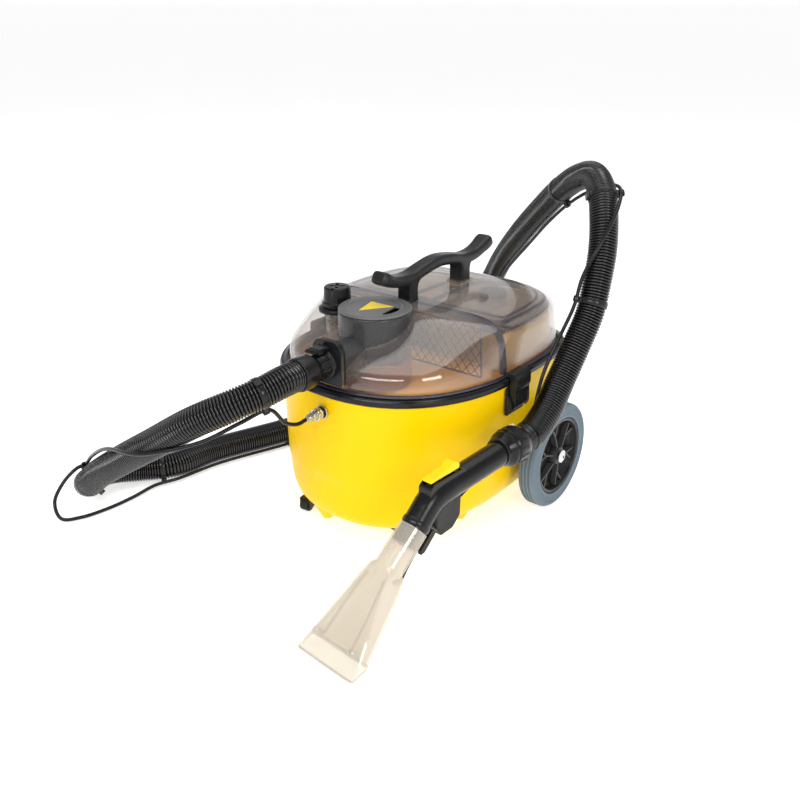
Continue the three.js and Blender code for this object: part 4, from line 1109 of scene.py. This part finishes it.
# ---------------------------------------------------------------- wheels and casters
def make_wheels():
    for name, side in SIDES:
        centre = (side * WHEEL_X, WHEEL_Y, WHEEL_RADIUS)
        turn = turned(centre, 90 * side, "Y")
        dish = rounded([(6.3, -14), (17, -14), (18, -8), (54, -6), (57.5, -12), (66.5, -12),
                        (66.5, 12.4), (62.5, 12.8), (60.5, 9.5), (57, 2), (50, -1.4), (19, -0.4),
                        (17.6, 6), (14.6, 13.4), (6.3, 13.4)], 1.6, 4)
        body = lathe(dish, "z", (0, 0, 0), 96, True)
        ribs = []
        for i in range(6):
            angle = math.radians(60 * i + 12)
            for a, b, lean in ((16, 38, 0), (37, 59, 0.17), (37, 59, -0.17)):
                start = Vector((a * math.cos(angle), a * math.sin(angle), 0))
                end = Vector((b * math.cos(angle + lean), b * math.sin(angle + lean), 0))
                along = (end - start).normalized()
                across = Vector((-along.y, along.x, 0)) * 1.5
                low, high_a, high_b = -3, (11 if lean == 0 else 7.4), (7.6 if lean == 0 else 9)
                foot = [start - across, end - across, end + across, start + across]
                points = [(*p.xy, low) for p in foot]
                points += [(*p.xy, high_a if i in (0, 3) else high_b) for i, p in enumerate(foot)]
                ribs.append((points, block(0, 1, 0, 1, 0, 1)[1]))
        piece(f"hub_{name}", moved(joined(body, *ribs), turn), "black_plastic", f"wheel_{name}",
              material="hub_black", bevel=0.5, stands_for=[f"wheel_hub_{name}"])
        lip = lathe(rounded([(59.6, 10), (66.3, 10), (66.3, 13.2), (64, 13.8), (60.4, 12.6)], 0.8,
                            3), "z", (0, 0, 0), 96, True)
        piece(f"hub_lip_{name}", moved(lip, turn), "black_plastic", f"wheel_{name}")
        tread = [(67, -14.6), (84, -14.6), (87.6, -13.2), (89.6, -10.2)]
        for groove in (-6.4, 0, 6.4):
            tread += [(89.9, groove - 1.6), (88.4, groove - 0.9), (88.4, groove + 0.9),
                      (89.9, groove + 1.6)]
        tread += [(89.6, 10.2), (87.6, 13.2), (84, 14.6), (81.4, 14.6), (80.8, 14.1), (72, 14.1),
                  (71.4, 14.6), (67, 14.6)]
        tyre = lathe(tread, "z", (0, 0, 0), 128, True)
        piece(f"tyre_{name}", moved(tyre, turn), "tyre_grey", f"wheel_{name}",
              stands_for=[f"wheel_tyre_{name}"], smooth=30)
        cap = rounded([(0.01, 16.7), (8, 16.7), (8.1, 17.6), (10.8, 17.8), (10.9, 18.8),
                       (8.4, 19.6), (6.6, 20.9), (3.4, 21.3), (0.01, 21.4)], 0.5, 3, False)
        piece(f"axle_end_{name}", moved(lathe(cap, "z", (0, 0, 0), 48), turn), "steel",
              material="silver_paint", stands_for=[f"axle_cap_{name}"])
        dot = lathe([(0.01, 21.2), (2.6, 21.2), (2.4, 21.9), (0.01, 22)], "z", (0, 0, 0), 24)
        piece(f"axle_dot_{name}", moved(dot, turn), "steel", material="hub_black")


# ---------------------------------------------------------------- the tub's nose and rear panel
def make_coupler():
    centre = (COUPLER_X, 0, COUPLER_Z)
    body = [(0.01, -24), (5.4, -24), (6.4, -23.4), (6.8, -22), (6.8, -18.4), (7, -18), (7, -8.4),
            (7, -4), (10.4, -3.2), (11, -2.6), (11, -0.5), (7, -0.4), (7, 12), (0.01, 12)]
    piece("coupler_body", lathe([(r, NOSE_Y + d) for r, d in body], "y", centre, 48), "nickel",
          stands_for=["solution_coupler"], bevel=0.3)
    sleeve = [(7.3, -18), (9.2, -18), (10.2, -17), (10.2, -15.6), (9.5, -15), (9.5, -12.4),
              (10.2, -11.6), (10.2, -9.8), (9.4, -9), (7.3, -9)]
    piece("coupler_ring", lathe([(r, NOSE_Y + d) for r, d in sleeve], "y", centre, 48, True),
          "nickel", "coupler_sleeve", bevel=0.3, stands_for=["coupler_sleeve"])
    washer = [(6.2, NOSE_Y - 4.4), (9.6, NOSE_Y - 4.4), (9.8, NOSE_Y - 3.4), (6.2, NOSE_Y - 3.4)]
    piece("coupler_washer", lathe(washer, "y", centre, 40, True), "nickel", material="black_matt")
    stud = rounded([(0.01, -7), (2.8, -7), (3.6, -6), (3.6, -3.2), (5.4, -3), (5.6, -0.6), (5.6, 3),
                    (0.01, 3)], 0.5, 3, False)
    piece("nose_stud", lathe([(r, NOSE_Y + 0.9 + d) for r, d in stud], "y", (-27, 0, 206), 32),
          "nickel", bevel=0.2)


def make_rear_panel():
    left, right, low, high = EXHAUST
    frame_outline = rounded(oblong(left, right, low, high), 6, 5)
    panel = slab("xz", frame_outline, -232.8, -238.6)
    grille = piece("exhaust_cover", panel, "black_plastic", material="black_matt", bevel=0.6,
                   stands_for=["exhaust_grille"])
    slots = [rounded(oblong(left + 12, right - 12, z, z + 4), 1.9, 4) for z in range(130, 168, 8)]
    carve(grille, *[slab("xz", slot, -225, -245) for slot in slots])
    louvres = []
    for z in range(130, 168, 8):
        slope = [(226, z + 1.4), (236.2, z - 0.4), (236.2, z + 0.8), (226, z + 2.6)]
        louvres.append(slab("yz", slope, left + 11, right - 11))
    piece("exhaust_louvres", joined(*louvres), "black_plastic", material="black_matt")
    screws = [lathe(rounded([(0.01, y), (3, y), (2.4, y + 1.6), (0.01, y + 1.9)], 0.4, 3, False),
                    "y", (x, 0, z), 20) for x, z, y in ((left + 5, low + 5, 238.4),
                                                        (right - 5, low + 5, 238.4),
                                                        (left + 5, high - 5, 238.4),
                                                        (right - 5, high - 5, 238.4))]
    piece("exhaust_screws", joined(*screws), "steel")
    box_outline = rounded(oblong(-102, -26, 186, 224), 6, 5)
    bezel = piece("switch_frame", slab("xz", box_outline, -234, -241.8), "black_plastic", bevel=1.0,
                  stands_for=["switch_bezel"])
    for name, x in (("vacuum", -82), ("pump", -46)):
        hole = rounded(oblong(x - 12.6, x + 12.6, 192.4, 217.6), 1.5, 3)
        carve(bezel, slab("xz", hole, -236.4, -245))
        rock = rounded([(239, 193.2), (242.6, 193.2), (240.9, 205), (244.4, 216.8), (239, 216.8)],
                       0.9, 4)
        piece(f"rocker_key_{name}", slab("yz", rock, x - 11.8, x + 11.8), "rocker_red",
              f"rocker_{name}", bevel=0.5, stands_for=[f"rocker_{name}"])
    gland = [(0.01, 236.2), (13, 236.2), (13, 239.4), (10.4, 240), (10.4, 246), (9, 249.2),
             (5.4, 250), (5, 247), (0.01, 247)]
    piece("power_inlet", lathe(rounded(gland, 0.6, 3, False), "y", (-64, 0, 150), 48),
          "black_plastic", bevel=0.3, stands_for=["power_gland"])


# ---------------------------------------------------------------- hand tool
def tool_piece(name, shape, slot, body="base", **options):
    return piece(name, moved(shape, TOOL), slot, body, **options)


NOZZLE = [((0, 0), (30, 8), 53, 22), ((14, 14), (41, 18), 50, 22), ((86, 87), (118, 58), 25.5, 14),
          ((107.6, 106.8), (134.4, 74.4), 21.4, 2.1), ((155.6, 146.2), (182.4, 113.8), 21, 2)]
GRIP_PATH = [(169.4, 130.6), (178, 137.9), (188, 147.5), (199, 157.5), (213, 164.5), (232, 167.6),
             (280, 171.4), (330, 175.3), (372, 178.6)]


COLLAR_Z = 179  # the height of the hose collar's axis


def squared(half, high, power, sides=48):
    """A rounded box's outline: power 2 gives an ellipse, more gives a squarer one."""
    made = []
    for i in range(sides):
        angle = 2 * math.pi * i / sides
        c, s = math.cos(angle), math.sin(angle)
        scale = (abs(c) ** power + abs(s) ** power) ** (-1 / power)
        made.append((half * scale * c, high * scale * s))
    return made


def nozzle_rings(wall):
    """Rings of the nozzle's skin, drawn in by the wall."""
    finer = []
    for (a_top, a_low, a_half, a_power), (b_top, b_low, b_half, b_power) in zip(NOZZLE, NOZZLE[1:]):
        for i in range(6):
            t = i / 6
            finer.append((Vector(a_top).lerp(Vector(b_top), t), Vector(a_low).lerp(Vector(b_low),
                                                                                   t),
                          a_half + (b_half - a_half) * t, a_power + (b_power - a_power) * t))
    top, low, half, power = NOZZLE[-1]
    finer.append((Vector(top), Vector(low), half, power))
    rings = []
    for top, low, half, power in finer:
        middle = (top + low) / 2
        up = (top - low) / 2
        high = up.length - wall
        up = up.normalized()
        rings.append([(x, middle.x + up.x * z, middle.y + up.y * z)
                      for x, z in squared(half - wall, high, max(power, 2.05))])
    return rings


def make_nozzle():
    outer, inner = nozzle_rings(0), nozzle_rings(2.4)
    tool_piece("nozzle_shell", skin(outer + inner[::-1], True, True), "clear_nozzle",
               stands_for=["tool_nozzle"], smooth=24)
    lip = [outer[0], outer[1]]
    grown = []
    for ring, grow in ((lip[0], 0.2), (lip[0], 0.9), (lip[1], 0.9), (lip[1], 0.2)):
        centre = sum((Vector(p) for p in ring), Vector()) / len(ring)
        grown.append([Vector(p) + (Vector(p) - centre).normalized() * grow * 0.8 for p in ring])
    band = [[tuple(p + Vector((0, -0.4, 0.4))) for p in ring] for ring in grown]
    tool_piece("nozzle_lip", skin(band, True, True), "clear_nozzle", material="clear_edge")
    for name, side in SIDES:
        boss = lathe(rounded([(3.2, 0), (8, 0), (8, 5.4), (6.8, 6.4), (3.2, 6.4)], 0.8, 3), "z",
                     (0, 0, 0), 36, True)
        slope = turned((side * 34, 20, 22), -44, "X")
        tool_piece(f"nozzle_boss_{name}", moved(boss, slope),
                   "clear_nozzle", material="clear_edge", bevel=0.3)
    ribs = []
    for x in (-26, 26):
        path = [(x, 24, 22), (x * 0.93, 46, 42), (x * 0.76, 78, 73), (x * 0.6, 98, 90)]
        ribs.append(sweep(spline(path, 8), oblong(-0.9, 0.9, -2.4, 2)))
    tool_piece("nozzle_ribs", joined(*ribs), "clear_nozzle", material="clear_edge", bevel=0.3)


def make_tool():
    path = [(0, y, z) for y, z in GRIP_PATH]
    line, _ = evenly(spline(path), 2.5)
    scales = []
    for i in range(len(line)):
        share = i / (len(line) - 1)
        swell = 0.05 * math.exp(-((share - 0.32) / 0.09) ** 2)
        scales.append(1 + swell + (0.03 if share > 0.93 else 0))
    grip = sweep(line, circle(GRIP_RADIUS, 48), scales)
    insert_line = [Vector((0, 149, 113.5)), Vector((0, 176, 136.2))]
    insert_line = [insert_line[0].lerp(insert_line[1], t / 8) for t in range(9)]
    insert_scales = [17.4, 18.2, 18.2, 18.2, 17.6, 18.2, 18.2, 18.2, 18.2]
    insert = sweep(insert_line, circle(1, 40), insert_scales)
    cuff_at = [Vector((0, 171, 131.9)), Vector((0, 173, 133.6)), Vector((0, 176.5, 136.5)),
               Vector((0, 178, 137.8))]
    cuff = sweep(cuff_at, circle(1, 48), [20, 20.8, 20.8, 20])
    groove = sweep(evenly(spline([(-17.5, 196, 146), (-19.2, 214, 158), (-19.6, 234, 162.6),
                                  (-19.6, 282, 166.6), (-19.6, 332, 170.2), (-19.4, 360, 172.6)]),
                          3)[0], oblong(-1, 1, -2.4, 2.4))
    tool_piece("grip_tube", joined(grip, insert, cuff), "black_plastic", stands_for=["tool_grip"],
               smooth=50)
    tool_piece("grip_groove", groove, "black_plastic", material="black_matt")
    collar = [(18, 350), (21.4, 350), (22.2, 353), (21.2, 355.4), (24.6, 361), (27.6, 365),
              (27.6, 368), (26.4, 369.4), (29, 373), (29, 391), (27, 395), (25.2, 401.6),
              (18, 401.6)]
    swivel = lathe(collar, "y", (0, 0, COLLAR_Z), 64, True)
    pads = []
    for i in range(14):
        pad = rounded(oblong(-2.4, 2.4, 376, 390), 1.6, 4)
        turn = turned((0, 0, COLLAR_Z), 360 * i / 14, "Y")
        pads.append(moved(prism(pad, 28.4, 29.7), turn))
    # A small white patch on the collar.
    tag = turned((0, 0, COLLAR_Z), -30, "Y")
    tool_piece("collar_white_patch", moved(prism(rounded(oblong(-4, 4, 396.6, 401), 1), 25.4, 28.6), tag),
               "black_plastic", material="white_patch", bevel=0.4)
    tool_piece("tool_collar", joined(swivel, *pads), "black_plastic", bevel=0.5)
    base = rounded([(191, 160), (200, 158), (268, 170), (266, 188), (259, 191.8), (200, 189.6),
                    (191.6, 184)], 4, 5)
    mount = tool_piece("trigger_mount", slab("yz", base, -11.4, 11.4), "black_plastic", bevel=1.0)
    carve(mount, moved(block(-8.9, 8.9, 193, 257, 185, 200), TOOL))
    squeeze = rounded([(196, 190.4), (253, 193.6), (255, 198), (253, 203.6), (246, 206.6),
                       (238.6, 205.6), (230, 200.4), (214, 197.2), (202, 197), (195.6, 195),
                       (194.6, 192)], 2.4, 5)
    tool_piece("trigger_lever", slab("yz", squeeze, -8, 8), "trigger_yellow", "tool_trigger",
               bevel=2.0, stands_for=["tool_trigger"])
    valve = rounded([(203, 152), (206, 118), (215, 101.5), (240, 104), (256, 119), (257, 152)], 3,
                    4)
    box_shape = tool_piece("valve_box", slab("yz", valve, -10.5, 10.5), "grey_plastic", bevel=2.2,
                           material="black_matt", stands_for=["tool_valve"])
    carve(box_shape, moved(rod(4.3, 90, 125, "z", (0, 226, 0), 24), TOOL))
    tool_piece("valve_pin", lathe(rounded([(0.01, 101), (4, 101), (4, 124), (0.01, 124)], 0.7, 3,
                                          False), "z", (0, 226, 0), 28), "steel", "valve_plunger",
               stands_for=["valve_plunger"])
    rings = []
    for i in range(6):
        d = 2.2 * i
        rings += [(6.2, d), (6.2, d + 1.3), (4.9, d + 1.3), (4.9, d + 2.2)]
    rings.append((0.01, 13.2))
    spigot = lathe([(0.01, 0)] + rings, "z", (0, 0, 0), 28)
    lean = turned((0, 203, 113), 128, "X")
    tool_piece("valve_spigot", moved(spigot, lean), "black_plastic", bevel=0.2)
    jet_path = [(0, 192, 107), (0, 182, 97), (0, 172, 88), (0, 162, 78), (0, 153, 68), (0, 146, 59)]
    tool_piece("jet_tube", tube(jet_path, 2.2, 18), "line_black", stands_for=["jet_line"])
    tip = rounded([(0.01, 0), (2, 0), (4, 2.4), (4, 6), (5, 6.4), (5, 12), (3.4, 12.6), (3.4, 17),
                   (0.01, 17)], 0.3, 2, False)
    lean = turned((0, 129.5, 60), -104, "X")
    tool_piece("jet_tip", moved(lathe(tip, "z", (0, 0, 0), 32), lean), "brass",
               stands_for=["spray_jet"], bevel=0.2)
    tab = rounded([(199, 119), (206, 112), (183, 89.6), (175, 88), (175, 95)], 1.5, 3)
    tool_piece("jet_tab", slab("yz", tab, 3.4, 9.4), "black_plastic", bevel=0.6)


# ---------------------------------------------------------------- pieces kept from the CAD
KEPT = {"tank_deck": ("deck_orange", 0.6), "solution_tank": ("tank_white", 1.2),
        "pump_body": ("pump_paint", 0.6), "pump_plunger": ("steel", 0.3),
        "suction_line": ("line_black", 0), "supply_line": ("line_black", 0),
        "motor_cradle": ("black_matt", 0.6), "motor_frame": ("motor_paint", 0.6),
        "motor_rotor": ("steel", 0.4), "fan_housing": ("motor_paint", 0.8),
        "vacuum_riser": ("black_plastic", 0.5), "rear_axle": ("steel", 0.4),
        "caster_fork_left": ("black_plastic", 0.5), "caster_fork_right": ("black_plastic", 0.5),
        "caster_wheel_left": ("rubber_black", 0.8), "caster_wheel_right": ("rubber_black", 0.8),
        "inlet_chamber": ("amber_inner", 0.6), "plenum_floor": ("smoked_inner", 0.4),
        "float_cage": ("black_matt", 0.3)}


def finish_kept():
    """The float, then materials and rounded edges for the CAD pieces that stay as they are."""
    turns = [math.pi * i / 24 for i in range(1, 24)]
    ball = [(0.01, 282.8)] + [(14.4 * math.sin(a), 297.2 - 14.4 * math.cos(a)) for a in turns]
    piece("float_foam", lathe(ball + [(0.01, 311.6)], "z", (-30, 150, 0), 40), "float_white",
          "float_ball", stands_for=["float_ball"], smooth=60)
    for name, (material, bevel) in KEPT.items():
        made = bpy.data.objects[name]
        made.data.materials.clear()
        made.data.materials.append(MATERIALS[material])
        made.data.shade_smooth()
        made.data.set_sharp_from_angle(angle=math.radians(KEPT_FROM))
        if bevel:
            bevelled(made, bevel, KEPT_FROM)


# ---------------------------------------------------------------- floor and light
def make_stage():
    material, nodes, links, shader = new_material("pale floor")
    where = nodes.new("ShaderNodeTexCoord").outputs["Object"]
    tint = ramp(nodes, links, noise(nodes, links, where, 1.5),
                [(0.3, (0.8, 0.8, 0.8)), (0.7, (0.84, 0.84, 0.84))])
    links.new(tint, shader.inputs["Base Color"])
    shader.inputs["Emission Color"].default_value = (1, 1, 1, 1)
    shader.inputs["Emission Strength"].default_value = 0.6
    shader.inputs["Roughness"].default_value = 0.6
    shader.inputs["Specular IOR Level"].default_value = 0.2
    data = bpy.data.meshes.new("floor")
    radius, sides = 300, 96
    data.from_pydata([(radius * math.cos(2 * math.pi * i / sides),
                       radius * math.sin(2 * math.pi * i / sides), -0.0005) for i in range(sides)],
                     [], [tuple(range(sides))])
    data.materials.append(material)
    added("floor", data)

    world = bpy.data.worlds.new("studio")
    world.use_nodes = True
    nodes, links = world.node_tree.nodes, world.node_tree.links
    split = nodes.new("ShaderNodeSeparateXYZ")
    links.new(nodes.new("ShaderNodeTexCoord").outputs["Generated"], split.inputs[0])
    sky = ramp(nodes, links, split.outputs["Z"],
               [(0.0, (1, 1, 1)), (0.12, (0.9, 0.9, 0.9)), (0.4, (0.42, 0.42, 0.42)),
                (1.0, (0.34, 0.34, 0.34))])
    links.new(sky, nodes["Background"].inputs["Color"])
    nodes["Background"].inputs["Strength"].default_value = 1.0
    bpy.context.scene.world = world
    for name, at, size, power in (("key", (0.5, -2.8, 2.3), (2.6, 0.5), 48),
                                  ("fill", (2.4, -1.0, 1.5), (0.9, 0.9), 22),
                                  ("top", (0, 0.7, 3.2), (3.2, 3.2), 55)):
        light = bpy.data.lights.new(name, "AREA")
        light.shape = "RECTANGLE"
        light.size, light.size_y = size
        light.energy = power
        lamp = added(name, light)
        lamp.location = at
        lamp.rotation_euler = (Vector((0, 0, 0.15)) - Vector(at)).to_track_quat("-Z",
                                                                                "Y").to_euler()
    bpy.context.scene.view_settings.view_transform = "Standard"


make_cords()
make_tub()
make_rim()
make_lid()
make_inlet()
make_cap()
make_lid_inside()
make_handle()
make_latches()
make_wheels()
make_coupler()
make_rear_panel()
make_nozzle()
make_tool()
finish_kept()
make_stage()
